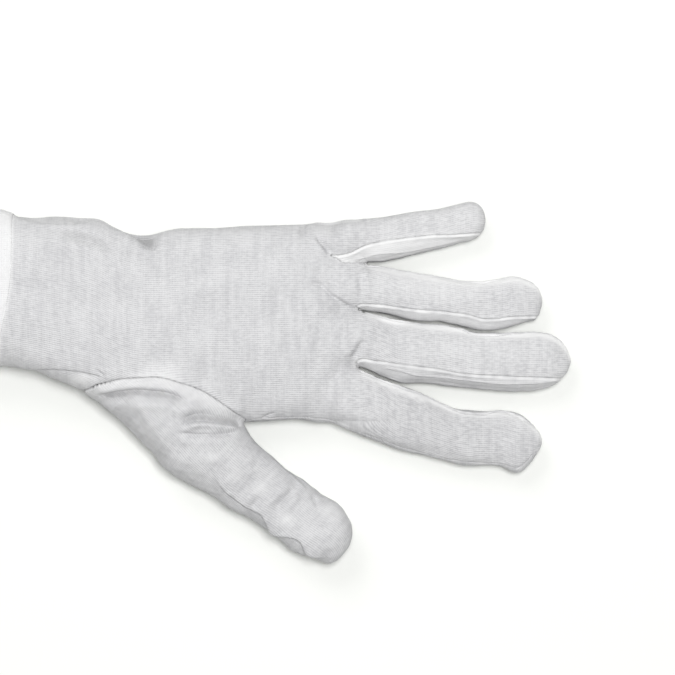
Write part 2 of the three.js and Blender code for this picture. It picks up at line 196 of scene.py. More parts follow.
class Tube:
    """A tube through smooth rows. In slanted rows each edge has an x and a y of its own."""

    def __init__(self, rows, roundness, slanted=False):
        rows = smooth_rows(rows)
        if slanted:
            far, near, low, high = rows[:, 0:2], rows[:, 2:4], rows[:, 4], rows[:, 5]
        else:
            far, near, low, high = rows[:, [0, 1]], rows[:, [0, 2]], rows[:, 3], rows[:, 4]
        self.slanted = slanted
        self.roundness = roundness
        self.middle = (far + near) / 2
        self.half = np.hypot(*(far - near).T) / 2
        self.side = (far - near) / 2 / self.half[:, None]
        self.lift = (low + high) / 2
        self.tall = (high - low) / 2
        steps = np.hypot(*np.diff(self.middle, axis=0).T)
        self.along = np.concatenate([[0], np.cumsum(steps)])
        self.index = np.arange(len(rows))
        self.girth = self.measure_girth()

    def measure_girth(self):
        """Length of cloth from the top of each section round to each angle."""
        n = self.roundness
        across = np.abs(np.sin(ANGLES)) / self.half[:, None]
        up = np.abs(np.cos(ANGLES)) / self.tall[:, None]
        reach = (across**n + up**n) ** (-1 / n)
        steps = np.hypot(*np.diff([reach * np.sin(ANGLES), reach * np.cos(ANGLES)], axis=2))
        return np.hstack([np.zeros((len(steps), 1)), np.cumsum(steps, axis=1)])

    def sizes(self, station):
        """Half width, middle height and half height at a station along the tube."""
        return [np.interp(station, self.index, v) for v in (self.half, self.lift, self.tall)]


hand = Tube(HAND_ROWS, 2.5)
fingers = [Tube(rows, 2.35) for rows in FINGER_ROWS]
thumb = Tube(THUMB_ROWS, 2.2, slanted=True)
print("length of cloth round the hand's widest part", round(2 * hand.girth[:, -1].max()), "mm")

# %% [markdown]
# ## Beside a tube
# The first question about a point is between which rows it lies. On the hand and the fingers its x
# answers that. The thumb's rows are slanted, so the search goes past every twelfth row first, and
# then past the rows between two of those.


# %% Where a point lies beside a tube
def ahead(tube, x, y, rows):
    """How far points are past the given rows of a slanted tube."""
    middle, side = tube.middle[rows], tube.side[rows]
    return (x - middle[..., 0]) * side[..., 1] - (y - middle[..., 1]) * side[..., 0]


def locate(tube, x, y):
    """Station along the tube, distance across from its middle, and distance past its ends."""
    if not tube.slanted:
        station = np.interp(x, tube.middle[:, 0], tube.index)
        across = y - np.interp(station, tube.index, tube.middle[:, 1])
        return station, across, np.maximum(tube.middle[0, 0] - x, x - tube.middle[-1, 0])
    x, y = np.broadcast_arrays(x, y)
    shape = x.shape
    x, y = x.ravel(), y.ravel()
    coarse = np.arange(0, len(tube.index), BETWEEN)
    passed = (ahead(tube, x[:, None], y[:, None], coarse) > 0).sum(axis=1) - 1
    start = np.clip(passed, 0, len(coarse) - 2) * BETWEEN
    beyond = ahead(tube, x[:, None], y[:, None], start[:, None] + np.arange(BETWEEN + 1))
    step = np.clip((beyond > 0).sum(axis=1) - 1, 0, BETWEEN - 1)
    each = np.arange(len(step))
    a, b = beyond[each, step], beyond[each, step + 1]
    station = start + step + np.clip(a / np.where(a == b, 1, a - b), 0, 1)
    place = [np.interp(station, tube.index, tube.middle[:, i]) for i in (0, 1)]
    way = [np.interp(station, tube.index, tube.side[:, i]) for i in (0, 1)]
    across = (x - place[0]) * way[0] + (y - place[1]) * way[1]
    past = np.maximum(-ahead(tube, x, y, 0), ahead(tube, x, y, len(tube.index) - 1))
    return station.reshape(shape), across.reshape(shape), past.reshape(shape)


on_thumb = [round(float(v), 1) for v in locate(thumb, 120, -60)]
print("station, across and past of a point on the thumb:", on_thumb)

# %% [markdown]
# ## Two measures from a tube
# The first is how far a point is outside the tube's cloth, with the inside below zero. The second
# lays a tape along the cloth and round it. It places the columns of the knit later.


# %% How far outside a tube
def outside(tube, x, y, z):
    """About how far a point is outside a tube's cloth, in mm."""
    station, across, past = locate(tube, x, y)
    half, lift, tall = tube.sizes(station)
    up = z - lift
    n = tube.roundness
    fill = ((np.abs(across) / half) ** n + (np.abs(up) / tall) ** n) ** (1 / n)
    reach = np.sqrt(across**2 + up**2)
    surface = np.where(fill > 1e-4, reach / np.maximum(fill, 1e-4), np.minimum(half, tall))
    value = reach - surface
    return np.where(past > 0, np.maximum(value, past), value)


print("a place 30 mm high in the palm is", round(-float(outside(hand, 110, 0, 30)), 1), "mm inside")


# %% Tape along a tube and round it
def wrap(tube, points):
    """Length along the tube, and lengths round it from its top line and its bottom line."""
    station, across, past = locate(tube, points[:, 0], points[:, 1])
    up = points[:, 2] - tube.sizes(station)[1]
    angle = np.arctan2(np.abs(across), up) / (ANGLES[1] - ANGLES[0])
    row = np.clip(station.astype(int), 0, len(tube.index) - 2)
    column = np.clip(angle.astype(int), 0, len(ANGLES) - 2)
    r, c = station - row, angle - column
    girth = tube.girth
    length = (1 - r) * ((1 - c) * girth[row, column] + c * girth[row, column + 1])
    length += r * ((1 - c) * girth[row + 1, column] + c * girth[row + 1, column + 1])
    whole = np.interp(station, tube.index, girth[:, -1])
    along = np.interp(station, tube.index, tube.along)
    along = along + np.where(past > 0, np.where(station > 1, past, -past), 0)
    return along, np.sign(across) * length, np.sign(across) * (whole - length)


tape = np.ravel(wrap(hand, np.array([[100.0, 35.0, 15.0]]))).round(1)
print("edge of the palm: along", tape[0], "mm, round", tape[1], "mm from above")

# %% [markdown]
# ## One skin
# Where two tubes meet, cloth runs from one to the other in a small fillet. Adding a smooth minimum
# of the distances does that: it takes the nearer tube and rounds the crease. The fillet is tight
# between two fingers and wide at the root of the thumb. The underside is flat on the table.


# %% Distance from the whole glove
def melt(a, b, radius):
    """Smaller of two distances, with a fillet where they meet."""
    return np.minimum(a, b) - np.maximum(radius - np.abs(a - b), 0) ** 2 / (4 * radius)


FINGER_FILLET = 0.6
# From the little finger down: fillet at the crotch, and the x where it starts and stops shrinking.
WEBS = [(7.0, 166.0, 171), (4.5, 166.2, 167.7), (4.5, 163.5, 167.5)]
FINGER_GAP = 1.3  # mm, least width of the slot between two fingers
SLOT_SLOPE = 1.2  # how fast a slot closes before its end
KNUCKLE_FILLET = 3.0  # where the fingers grow from the hand
THUMB_FILLET, CROOK_FILLET = 5.0, 1.6  # along the ball of the thumb, and in its sharp crook
CROOK_X = (106, 118)  # between these the first becomes the second
TABLE_FILLET = 1.2  # where the cloth bends up from the table


def glove_value(x, y, z):
    """About how far a point is outside the glove's skin, in mm."""
    row = outside(fingers[0], x, y, z)
    for finger, (radius, start, end) in zip(fingers[1:], WEBS):
        web = radius + (FINGER_FILLET - radius) * ease(x, start, end)
        value = outside(finger, x, y, z)
        apart = FINGER_GAP - np.abs(row - value) - SLOT_SLOPE * np.maximum(end - x, 0)
        row = np.maximum(melt(row, value, web), apart)
    whole = melt(outside(hand, x, y, z), row, KNUCKLE_FILLET)
    crook = THUMB_FILLET + (CROOK_FILLET - THUMB_FILLET) * ease(x, *CROOK_X)
    if whole.ndim == 1:  # loose points: the thumb counts only for those near it
        close = (x > 40) & (y < 2)
        ball = outside(thumb, x[close], y[close], z[close])
        whole[close] = melt(whole[close], ball, crook[close])
    else:
        whole = melt(whole, outside(thumb, x, y, z), crook)
    return -melt(-whole, z, TABLE_FILLET)


print("the thumb's root is", round(-float(glove_value(*np.array([[75.0], [-28], [15]]))[0]), 1),
      "mm inside the glove")

# %% [markdown]
# ## Onto the skin
# The slope of the distance points straight out of the cloth. A point near the skin gets onto it by
# going back along the slope by its distance, once or twice.


# %% Slope, and points moved onto the skin
def slope(points, step=0.15):
    """Value and slope of the distance at many points."""
    value = glove_value(*points.T)
    columns = []
    for axis in range(3):
        shift = np.zeros(3)
        shift[axis] = step
        ahead, behind = glove_value(*(points + shift).T), glove_value(*(points - shift).T)
        columns.append((ahead - behind) / (2 * step))
    return value, np.stack(columns, axis=1)


def onto_skin(points, rounds=2):
    """Points moved onto the skin, and the directions straight out of it."""
    for _ in range(rounds):
        value, out = slope(points)
        points = points - (value / np.maximum((out**2).sum(axis=1), 0.05))[:, None] * out
    value, out = slope(points)
    return points, out / np.maximum(np.linalg.norm(out, axis=1), 1e-9)[:, None]


print("highest point of the cloth at x = 110:", onto_skin(np.array([[110.0, 0, 30]]))[0].round(1))

# %% [markdown]
# ## From distance to mesh
# Blender could turn lofted tubes into one skin with a voxel remesh, which leaves stair marks. Here
# the distance itself is sampled on a grid, and each grid cell that the skin passes gets one point.
# Four cells round a grid line make a face. This is called surface nets.


# %% Surface nets
def surface_net(values, start, step):
    """Points and four-sided faces where the values on a grid pass zero."""
    inside = values < 0
    shape = np.array(values.shape) - 1
    corners = [np.array([i, j, k]) for i in (0, 1) for j in (0, 1) for k in (0, 1)]
    count = np.zeros(shape, np.int8)
    for corner in corners:
        count += inside[tuple(slice(c, c + s) for c, s in zip(corner, shape))]
    cells = np.argwhere((count > 0) & (count < 8))
    number = np.full(shape, -1)
    number[tuple(cells.T)] = np.arange(len(cells))
    total, hits = np.zeros((len(cells), 3)), np.zeros(len(cells))
    for a in corners:
        for b in corners:
            if (b - a).sum() != 1 or (b - a).min() < 0:
                continue
            here, there = values[tuple((cells + a).T)], values[tuple((cells + b).T)]
            cross = (here < 0) != (there < 0)
            share = (here / np.where(cross, here - there, 1))[cross, None]
            total[cross] += a + share * (b - a)
            hits += cross
    points = start + step * (cells + total / hits[:, None])
    faces = []
    for axis in range(3):
        u, v = np.eye(3, dtype=int)[[(axis + 1) % 3, (axis + 2) % 3]]
        low = u + v
        span = [slice(int(c), int(s)) for c, s in zip(low, shape)]
        first = inside[tuple(span)]
        span[axis] = slice(1, int(shape[axis]) + 1)
        second = inside[tuple(span)]
        spot = np.argwhere(first != second) + low
        out = inside[tuple(spot.T)]
        around = [number[tuple((spot - o).T)] for o in (0 * u, u, u + v, v)]
        quads = np.stack(around, axis=1)
        quads[~out] = quads[~out, ::-1]
        faces.append(quads)
    return points, np.vstack(faces)


trial_axis = np.arange(-6.0, 7.0)
trial_ball = trial_axis[:, None, None] ** 2 + trial_axis[:, None] ** 2 + trial_axis**2 - 25
print("a ball of radius 5 has", len(surface_net(trial_ball, -6, 1)[1]), "faces")

# %% [markdown]
# ## Even points
# The points of a surface net follow the grid. Each one is drawn to the middle of its neighbours,
# but only along the skin, so the shape stays and the faces become even. Then the longer diagonal of
# each four-sided face is left out, and it is split into two triangles along the shorter one.


# %% Spread the points
MESH_STEP = 0.9  # mm between points


def spread(points, faces, rounds=5):
    """Points evened out over the skin and set onto it."""
    ends = faces[:, [0, 1, 1, 2, 2, 3, 3, 0]].reshape(-1, 2)
    ends = np.vstack([ends, ends[:, ::-1]])
    near = np.bincount(ends[:, 0], minlength=len(points))[:, None]
    for _ in range(rounds):
        sums = [np.bincount(ends[:, 0], points[ends[:, 1], i], len(points)) for i in range(3)]
        value, out = slope(points)
        size = np.maximum((out**2).sum(axis=1), 0.05)
        move = np.stack(sums, axis=1) / near - points
        move -= ((move * out).sum(axis=1) / size)[:, None] * out
        points = points + 0.6 * move - (value / size)[:, None] * out
    return points


print("points will lie about", MESH_STEP, "mm apart")

# %% The whole skin
GRID_FROM, GRID_TO = np.array([11.0, -105.0, -2.5]), np.array([258.0, 53.0, 43.5])
grid_size = np.ceil((GRID_TO - GRID_FROM) / MESH_STEP).astype(int)
grid_axes = [GRID_FROM[i] + MESH_STEP * np.arange(grid_size[i]) for i in range(3)]
grid = np.meshgrid(*grid_axes, indexing="ij", sparse=True)
skin_points, skin_quads = surface_net(glove_value(*grid), GRID_FROM, MESH_STEP)
skin_points = spread(skin_points, skin_quads)
diagonals = [
    np.linalg.norm(skin_points[skin_quads[:, i]] - skin_points[skin_quads[:, i + 2]], axis=1)
    for i in (0, 1)
]
first_shorter = (diagonals[0] < diagonals[1])[:, None]
skin_faces = np.vstack([
    np.where(first_shorter, skin_quads[:, [0, 1, 2]], skin_quads[:, [0, 1, 3]]),
    np.where(first_shorter, skin_quads[:, [0, 2, 3]], skin_quads[:, [1, 2, 3]]),
])
print("skin:", len(skin_points), "points,", len(skin_faces), "faces")

# %% [markdown]
# ## Seam lines
# The pieces are sewn with narrow seams turned to the inside. A seam could be drawn on the mesh by
# hand. Here it is a smooth line in plan, as the camera sees it, so it can be checked against a
# picture of a real glove. One function makes such a line, and one finds the nearest place on it.


# %% Lines in plan
def lane(*points):
    """A smooth line in plan through the points."""
    return smooth_rows(np.array(points, float), between=6)


def as_seen(points):
    """Plan positions as the camera sees them: what is high looks further out than it is."""
    share = 1 - (points[:, 2:3] - VIEWED[2]) / (1000 * VIEW_DISTANCE)
    return VIEWED[:2] + (points[:, :2] - VIEWED[:2]) / share


shift = as_seen(np.array([[20.0, 40, 38]])) - [20, 40]
print("a point high on the cuff is seen", np.hypot(*shift[0]).round(2), "mm further out")


# %% Nearest place on a line
def nearest(line, plan, closed=False):
    """Distance to a line in plan, direction away from it, length along it, and the side."""
    ends = np.vstack([line, line[:1]]) if closed else line
    best = np.full(len(plan), np.inf)
    away = np.zeros_like(plan)
    along, side = np.zeros(len(plan)), np.zeros(len(plan))
    within = np.zeros(len(plan), bool)
    walked = 0.0
    for a, b in zip(ends, ends[1:]):
        run = b - a
        length = np.hypot(*run)
        if length < 1e-6:
            continue
        offset = plan - a
        share = np.clip(offset @ run / length**2, 0, 1)
        gap = offset - share[:, None] * run
        distance = (gap**2).sum(axis=1)
        closer = distance < best
        best[closer] = distance[closer]
        away[closer] = gap[closer]
        along[closer] = walked + share[closer] * length
        side[closer] = (run[0] * offset[:, 1] - run[1] * offset[:, 0])[closer]
        walked += length
        if closed:
            spans = (a[1] > plan[:, 1]) != (b[1] > plan[:, 1])
            cut = a[0] + (plan[:, 1] - a[1]) * run[0] / (run[1] if run[1] else 1)
            within ^= spans & (plan[:, 0] < cut)
    distance = np.sqrt(best)
    away = away / np.maximum(distance, 1e-9)[:, None]
    if closed:
        side = np.where(within, 1, -1)
    return distance, away, along, np.sign(side)


print("10 mm beside a line, 5 mm along it:",
      [float(v[0]) for v in nearest(lane([0, 0], [20, 0]), np.array([[5.0, 10.0]]))[::2]])

# %% [markdown]
# ## Side seam
# Palm and back meet along the sides of the hand and of the fingers. On a worn glove this seam isn't
# level. The cloth gets turned a little in wear, so the seam rolls towards the palm below the
# thumb's crook and on the index finger's outer side, and rolls under at the wrist.

# %% Height of the side seam
PARTING_ROWS = np.array([
    [-20, 21.0], [50, 21.0], [90, 17.0], [130, 14.0], [166, 10.5], [200, 9.8], [290, 10.0],
])
SIDE_LIFT = np.array([[112, 5.6], [165, 5.4], [185, 4.2]])  # how far it rolls towards the palm at x
ROLLED_FROM = np.array([  # and from which y outwards
    [112, -33.0], [150, -33.0], [170, -37.0], [200, -46.0], [225, -50.0], [250, -52.0],
])
ROLL_X, ROLL_WIDTH = (112, 124), 6  # where along x the roll sets in, and how soft its edge is
WRIST_DROP = 7.0  # how far it rolls under at the wrist
DROP_X, DROP_WIDTH = (58, 80), 15


def parting(points):
    """Height of the seam between palm and back, beside each point."""
    x, y = points[:, 0], points[:, 1]
    rolled = ease(np.interp(x, *ROLLED_FROM.T) - y, 0, ROLL_WIDTH) * ease(x, *ROLL_X)
    under = ease(-y, 0, DROP_WIDTH) * (1 - ease(x, *DROP_X))
    level = np.interp(x, *PARTING_ROWS.T)
    return level + np.interp(x, *SIDE_LIFT.T) * rolled - WRIST_DROP * under


print("height beside the little finger and beside the index finger:",
      parting(np.array([[200.0, 45, 0], [200, -58, 0]])).round(1))

# %% [markdown]
# ## Outlines of the pieces
# The thumb's gusset is set into an arc round the ball of the thumb, and its back seam is nearly
# straight. The strips run up the sides of the fingers from each crotch. Every outline is a closed
# line in plan. Where it doesn't matter, it runs well clear of the glove, or inside another finger.

# %% Outline of the thumb
THUMB_ARC = lane(
    [52.9, -28.8], [55.5, -27.4], [59.4, -26.4], [64.6, -25.1], [69.8, -24.5], [75.1, -24.2],
    [80.1, -24.0], [84.7, -24.6], [90.8, -26.4], [95.6, -27.9], [100.5, -30.0], [105.3, -32.9],
    [110.1, -36.3], [115.0, -39.9], [119.8, -43.3],
)
THUMB_BACK = lane([52.9, -28.8], [66, -32], [83, -35], [101, -37.8], [119.8, -43.3])
THUMB_CLEAR = np.array([
    [124.5, -46.5], [142, -58.5], [160, -71], [178, -88], [178, -125], [30, -125], [30, -36],
])
OUTLINES = {"thumb": [np.vstack([THUMB_ARC, THUMB_CLEAR]), np.vstack([THUMB_BACK, THUMB_CLEAR])]}
print("length of the gusset's arc", round(np.hypot(*np.diff(THUMB_ARC, axis=0).T).sum()), "mm")

# %% Seams of the strips
# Each strip: the fingers above and below it, its front seam on the upper finger, how it starts on
# the lower finger, and how high its front seam lies on the lower finger's side (x, height).
STRIPS = {
    "fourchette_ring_little": (0, 1, lane(
        [154.4, 27.0], [158, 27.2], [162.7, 28.3], [169, 31.4], [178.2, 33.5], [187.2, 34.6],
        [196.4, 35.6], [205.5, 35.7], [214.5, 36.3], [221, 36.6],
    ), [[158.2, 24.6], [161.0, 23.2], [163.5, 19.0]],
        [[160, 3.2], [170, 3.2], [178, 2.0], [212, 2.0], [218, 3.4], [226, 2.0]]),
    "fourchette_middle_ring": (1, 2, lane(
        [164.6, 5.6], [166.0, 6.3], [168.5, 6.6], [174, 6.3], [180.1, 5.6], [186.8, 4.6],
        [193.5, 4.0], [198.1, 3.8], [210.9, 2.3], [217.4, 0.5], [223.7, 0.4], [229.2, 1.2],
        [239.3, 1.4], [245, 1.5],
    ), [[167.5, 3.4], [169.0, -0.5]],
        [[166, 3.8], [182, 3.8], [192, 2.0], [206, 2.0], [213, 4.2], [224, 4.2], [232, 2.0]]),
    "fourchette_index_middle": (2, 3, lane(
        [164.5, -18.6], [165.2, -17.3], [167.8, -16.5], [172, -17.2], [176.2, -17.6], [183, -18.6],
        [197.7, -20.5], [209.9, -22.6], [223.7, -23.5], [250.2, -24.6], [257, -24.9],
    ), [[165.3, -20.6], [168.0, -22.9], [171.0, -27.5]],
        [[164, 4.6], [186, 4.2], [193, 2.4], [202, 3.4], [209, 4.6], [219, 4.4], [225, 2.0],
         [231, 3.4], [239, 3.4]]),
}
PAST_TIPS = 262  # x past all fingertips
for name, (upper, lower, front, start, rises) in STRIPS.items():
    tips = [[PAST_TIPS, front[-1, 1]], [PAST_TIPS, fingers[lower].middle[-1, 1]]]
    inside = fingers[lower].middle[::-BETWEEN]  # the outline comes back inside the lower finger
    inside = inside[(inside[:, 0] > start[-1][0] + 3)]
    OUTLINES[name] = [np.vstack([front, tips, inside, start[::-1]])]
print("pieces with an outline:", ", ".join(OUTLINES))

# %% [markdown]
# ## Inside or outside a piece
# A number tells for every point of the skin how far it is inside a piece: above zero inside, below
# zero outside, and zero on the seam. A strip also ends at its two seams on the fingers' sides. It
# only touches the lower finger in a crease at the crotch, and there is no seam there.

# %% How high and how low a strip reaches
SEAM_DEPTH = 4.5  # the strips' back seams run this far below the middle of the fingers' sides
SEAM_RUN_OUT = 9.0  # length over which a strip narrows to nothing at a fingertip
NO_SEAM = 50  # mm, far from any seam


def with_slope(value, slope, along):
    return np.column_stack([value, np.tile(slope, (len(value), 1)), along])


def strip_limits(name, points, along, sewn):
    """Distance from a strip's limits on the sides of the two fingers, its slope, length along."""
    upper, lower, _, _, rises = STRIPS[name]
    across = 3 * (outside(fingers[lower], *points.T) - outside(fingers[upper], *points.T))
    tips = np.where(across > 0, fingers[upper].middle[-1, 0], fingers[lower].middle[-1, 0])
    narrow = ease(tips - points[:, 0], 0.5, SEAM_RUN_OUT)
    height = points[:, 2] - parting(points)
    rise = np.interp(points[:, 0], *np.array(rises, float).T)
    if sewn:
        across = np.where(across > 0, NO_SEAM, -NO_SEAM)
    top = with_slope(rise * narrow - height, (0, 0, -1), along)
    side = with_slope(across, (0, 6, 0), along)
    bottom = with_slope(height + SEAM_DEPTH * narrow, (0, 0, 1), along)
    top = np.where(top[:, :1] > side[:, :1], top, side)
    return np.where(top[:, :1] < bottom[:, :1], top, bottom)


on_middle_finger = np.array([[200.0, -26.0, 12.0]])
print("inside the strip's limits by", strip_limits(
    "fourchette_index_middle", on_middle_finger, [0.0], False)[0, 0].round(1), "mm")


# %% Distance from a piece's outline
def region(name, points, sewn=False):
    """Signed distance from a piece's outline, above zero inside it, its slope, length along it.
    With sewn, creases don't count as seams."""
    corners = np.vstack(OUTLINES[name])
    low, high = corners.min(axis=0) - 6, corners.max(axis=0) + 6
    some = ((points[:, :2] > low) & (points[:, :2] < high)).all(axis=1)
    near = points[some]
    upper = ease(near[:, 2] - parting(near), -2.0, 2.0)
    weights = (upper, 1 - upper) if len(OUTLINES[name]) == 2 else (np.ones(len(near)),)
    total = np.zeros((len(near), 5))
    for outline, weight in zip(OUTLINES[name], weights):
        distance, away, length, side = nearest(outline, as_seen(near), closed=True)
        part = np.column_stack([distance * side, away * side[:, None], 0 * side, length])
        total += part * weight[:, None]
    if name in STRIPS:
        limits = strip_limits(name, near, total[:, 4], sewn)
        total = np.where(total[:, :1] < limits[:, :1], total, limits)
    size = np.maximum(np.linalg.norm(total[:, 1:4], axis=1), 0.2)
    result = np.zeros((len(points), 5))
    result[:, 0] = -NO_SEAM
    result[some] = total
    result[some, :4] /= size[:, None]
    return result[:, 0], result[:, 1:4], result[:, 4]


print("points of the skin on the thumb:", (region("thumb", skin_points)[0] > 0).sum())

# %% [markdown]
# ## Scissors
# Blender's knife and bisect cut along flat planes. These seams are curved, so small functions work
# on the arrays of points and faces. One halves the edges near a seam or a fold, so the fine shapes
# there have enough points. The other scores the faces along a line and adds points on it, which
# leaves a clean edge, as sharp scissors do.


# %% Splitting faces
def split_edges(points, faces, choose):
    """New points on the chosen edges, and new faces round them."""
    edges = np.sort(faces[:, [0, 1, 1, 2, 2, 0]].reshape(-1, 2), axis=1).astype(np.int64)
    keys, where = np.unique(edges[:, 0] * len(points) + edges[:, 1], return_inverse=True)
    pairs, where = np.stack(np.divmod(keys, len(points)), axis=1), where.reshape(-1, 3)
    chosen, share = choose(pairs)
    a, b = points[pairs[chosen, 0]], points[pairs[chosen, 1]]
    fresh = a + share[chosen, None] * (b - a)
    number = np.full(len(pairs), -1)
    number[chosen] = len(points) + np.arange(chosen.sum())
    hits = number[where]
    count = (hits >= 0).sum(axis=1)
    out = [faces[count == 0]]
    full = count == 3
    f, h = faces[full], hits[full]
    for trio in ((f[:, 0], h[:, 0], h[:, 2]), (f[:, 1], h[:, 1], h[:, 0]),
                 (f[:, 2], h[:, 2], h[:, 1]), (h[:, 0], h[:, 1], h[:, 2])):
        out.append(np.stack(trio, axis=1))
    for e in range(3):
        one = (count == 1) & (hits[:, e] >= 0)
        a, b, c = (faces[one, (e + i) % 3] for i in range(3))
        m = hits[one, e]
        out += [np.stack([a, m, c], axis=1), np.stack([m, b, c], axis=1)]
        two = (count == 2) & (hits[:, e] >= 0) & (hits[:, (e + 1) % 3] >= 0)
        a, b, c = (faces[two, (e + i) % 3] for i in range(3))
        m, n = hits[two, e], hits[two, (e + 1) % 3]
        out += [np.stack([m, b, n], axis=1), np.stack([a, m, n], axis=1)]
        out += [np.stack([a, n, c], axis=1)]
    return np.vstack([points, fresh]), np.vstack(out), chosen


patch = np.array([[0.0, 0, 0], [9, 0, 0], [9, 9, 0], [0, 9, 0]]), np.array([[0, 1, 2], [0, 2, 3]])
all_halved = split_edges(
    *patch, lambda pairs: (np.full(len(pairs), True), np.full(len(pairs), 0.5))
)
print("a patch of 2 faces with every edge halved has", len(all_halved[1]), "faces")


# %% Halve, score and cut
def refine(points, faces, wanted):
    """Halves every edge that touches a wanted point and is long enough."""
    def choose(pairs):
        length = np.linalg.norm(points[pairs[:, 0]] - points[pairs[:, 1]], axis=1)
        near = wanted[pairs[:, 0]] | wanted[pairs[:, 1]]
        return near & (length > 0.3 * MESH_STEP), np.full(len(pairs), 0.5)

    points, faces, _ = split_edges(points, faces, choose)
    return points, faces


def score(points, faces, value):
    """Faces cut along the line where the value is zero. Gives the value at the new points too."""
    value = np.where(np.abs(value) < 0.03, 0.0, value)

    def choose(pairs):
        a, b = value[pairs[:, 0]], value[pairs[:, 1]]
        crossed = a * b < 0
        return crossed, a / np.where(crossed, a - b, 1)

    points, faces, chosen = split_edges(points, faces, choose)
    return points, faces, np.concatenate([value, np.zeros(chosen.sum())])


def used_only(points, faces):
    """Only the points that the faces use."""
    used, faces = np.unique(faces, return_inverse=True)
    return points[used], faces.reshape(-1, 3)


def cut(points, faces, value):
    """The two sides of a cut along the line where the value is zero."""
    points, faces, value = score(points, faces, value)
    inside = value[faces].sum(axis=1) > 0
    return used_only(points, faces[inside]), used_only(points, faces[~inside])


halves = cut(*patch, patch[0][:, 0] - 3)
print("the patch cut at a third has", [len(faces) for _, faces in halves], "faces on the two sides")

# %% [markdown]
# ## Folds and creases
# Worn knit cloth is smooth where it is stretched, and gathers where it has room: before the
# wrist, over the ball of the thumb and at the roots of the fingers. Folds could come from a cloth
# simulation, but then they wouldn't lie where they lie on the real glove. So each fold is a line in
# plan with a profile across it: troughs and ridges, a step down to a lower layer, or a lap, where
# one layer lies over the next.


# %% One fold
FOLDS = []


def fold(line, bumps, fade, step=None, lap=None):
    """Adds a fold. Bumps are (offset, height, half width), and a positive offset is on the left of
    the line. A step goes down on its right, a lap up on its left: (height, width, reach)."""
    FOLDS.append((lane(*line), bumps, fade, step, lap))


print("a fold's measures are in mm, and over its fade it dies out at both ends")

# %% Folds before the wrist
# a roll laps over the cloth behind it, which dips under
fold([[80.9, 29.0], [76.7, 31.2], [72.0, 34.0], [68.2, 36.4], [64, 39.0], [60, 42.0]],
     bumps=[(1.8, 0.5, 2.0), (-1.2, -0.8, 1.3)], step=(1.2, 0.6, 13.0), fade=6)
# a wide trough runs up to it
fold([[33.9, 39.1], [42.3, 37.4], [50.7, 35.3], [57, 33.2], [62, 31.1], [67.5, 28.6]],
     bumps=[(0, -1.4, 3.0), (-4.6, 0.3, 2.2)], fade=13)
# and the cloth behind steps down at the edge
fold([[54.9, 42.6], [48.6, 40.9], [42.3, 40.3], [33.9, 40.6], [25.5, 42.0]],
     bumps=[(0.9, 0.2, 0.9)], step=(0.7, 0.8, 8.0), fade=7)
print("folds so far:", len(FOLDS))

# %% Dents and rolls at the roots of the fingers
# dents below the little finger
fold([[142.3, 43.0], [141.8, 34.5]],
     bumps=[(0, -1.0, 1.4), (2.8, 0.4, 1.8)], fade=3)
fold([[147.6, 36.0], [149.6, 33.6], [152.0, 30.4], [154.4, 27.5]],
     bumps=[(0, -1.4, 1.1), (-2.6, 0.4, 1.5)], fade=3.0)
# a fine crease from the palm to the corner between middle and ring finger
fold([[143.9, 15.9], [148.6, 15.2], [150.6, 14.0], [154.0, 10.6], [158.6, 7.4], [162.5, 5.2],
      [164.8, 4.6]],
     bumps=[(0, -0.7, 0.8), (1.6, 0.5, 1.1)], fade=4)
# root of the ring finger: a soft roll and the dip beside it
fold([[165.4, 22.6], [166.6, 15.0], [167.6, 7.6]],
     bumps=[(2.8, 0.6, 1.6), (0, -0.7, 1.5)], fade=5)
# dip at the root of the middle finger
fold([[162.6, -16.6], [165.4, -12.6], [168.4, -8.6]],
     bumps=[(0, -1.2, 1.3), (2.8, 0.4, 1.4)], fade=2.5)
print("folds so far:", len(FOLDS))

# %% Lap at the lower wrist
# the palm's cloth laps over the layer below it
fold([[20, -19.6], [32.6, -19.9], [43.0, -20.6], [51.8, -22.2], [58.5, -24.0]],
     bumps=[(-0.6, -0.5, 0.8)], lap=(1.5, 0.7, 11.0), fade=7)
fold([[55.7, -20.8], [58.7, -23.7]],
     bumps=[(0, -0.5, 0.6), (1.0, 0.25, 0.6)], fade=1.5)
print("folds so far:", len(FOLDS))

# %% Folds over the ball of the thumb
# deep valley along the gusset's arc
fold([[54.1, -32.3], [61.2, -31.6], [66.2, -30.8], [71.7, -30.2], [78.0, -30.5], [84.3, -31.0],
      [89.8, -32.7], [94.8, -34.6]],
     bumps=[(0, -2.4, 1.0), (-1.6, -1.4, 1.8), (2.8, 0.8, 1.6), (-5.6, 0.6, 2.2)], fade=8)
fold([[86.8, -37.0], [87.2, -41.0], [86.0, -45.5]],
     bumps=[(0, -0.7, 1.2)], fade=3)
# second valley towards the crook, and the soft groove below it
fold([[91.5, -44.6], [95.0, -42.4], [99.8, -41.7], [104.9, -42.1], [110.8, -43.0],
      [117.1, -44.3]],
     bumps=[(0, -2.2, 0.8), (1.5, -1.9, 1.6), (-2.4, 1.4, 1.3), (6.0, 0.7, 2.0)], fade=4)
fold([[89.0, -47.2], [97.0, -48.7], [103.2, -48.5], [109.5, -47.9], [115.8, -46.4]],
     bumps=[(0, -1.3, 1.0), (-3.2, 0.5, 1.8)], fade=5)
# the cloth drops from the ball of the thumb to its outer side
fold([[66.0, -30.0], [68.8, -31.9], [73.8, -37.8], [78.8, -46.2], [84.7, -53.8], [90.0, -60.6]],
     bumps=[(0.6, 0.35, 2.2)], step=(1.0, 4.5, 13.0), fade=7)
# the palm's edge is nipped beside the crook of the thumb
fold([[125.0, -41.6], [127.6, -40.1], [130.0, -38.9]],
     bumps=[(0, -0.9, 0.6)], fade=1.5)
print("folds so far:", len(FOLDS))

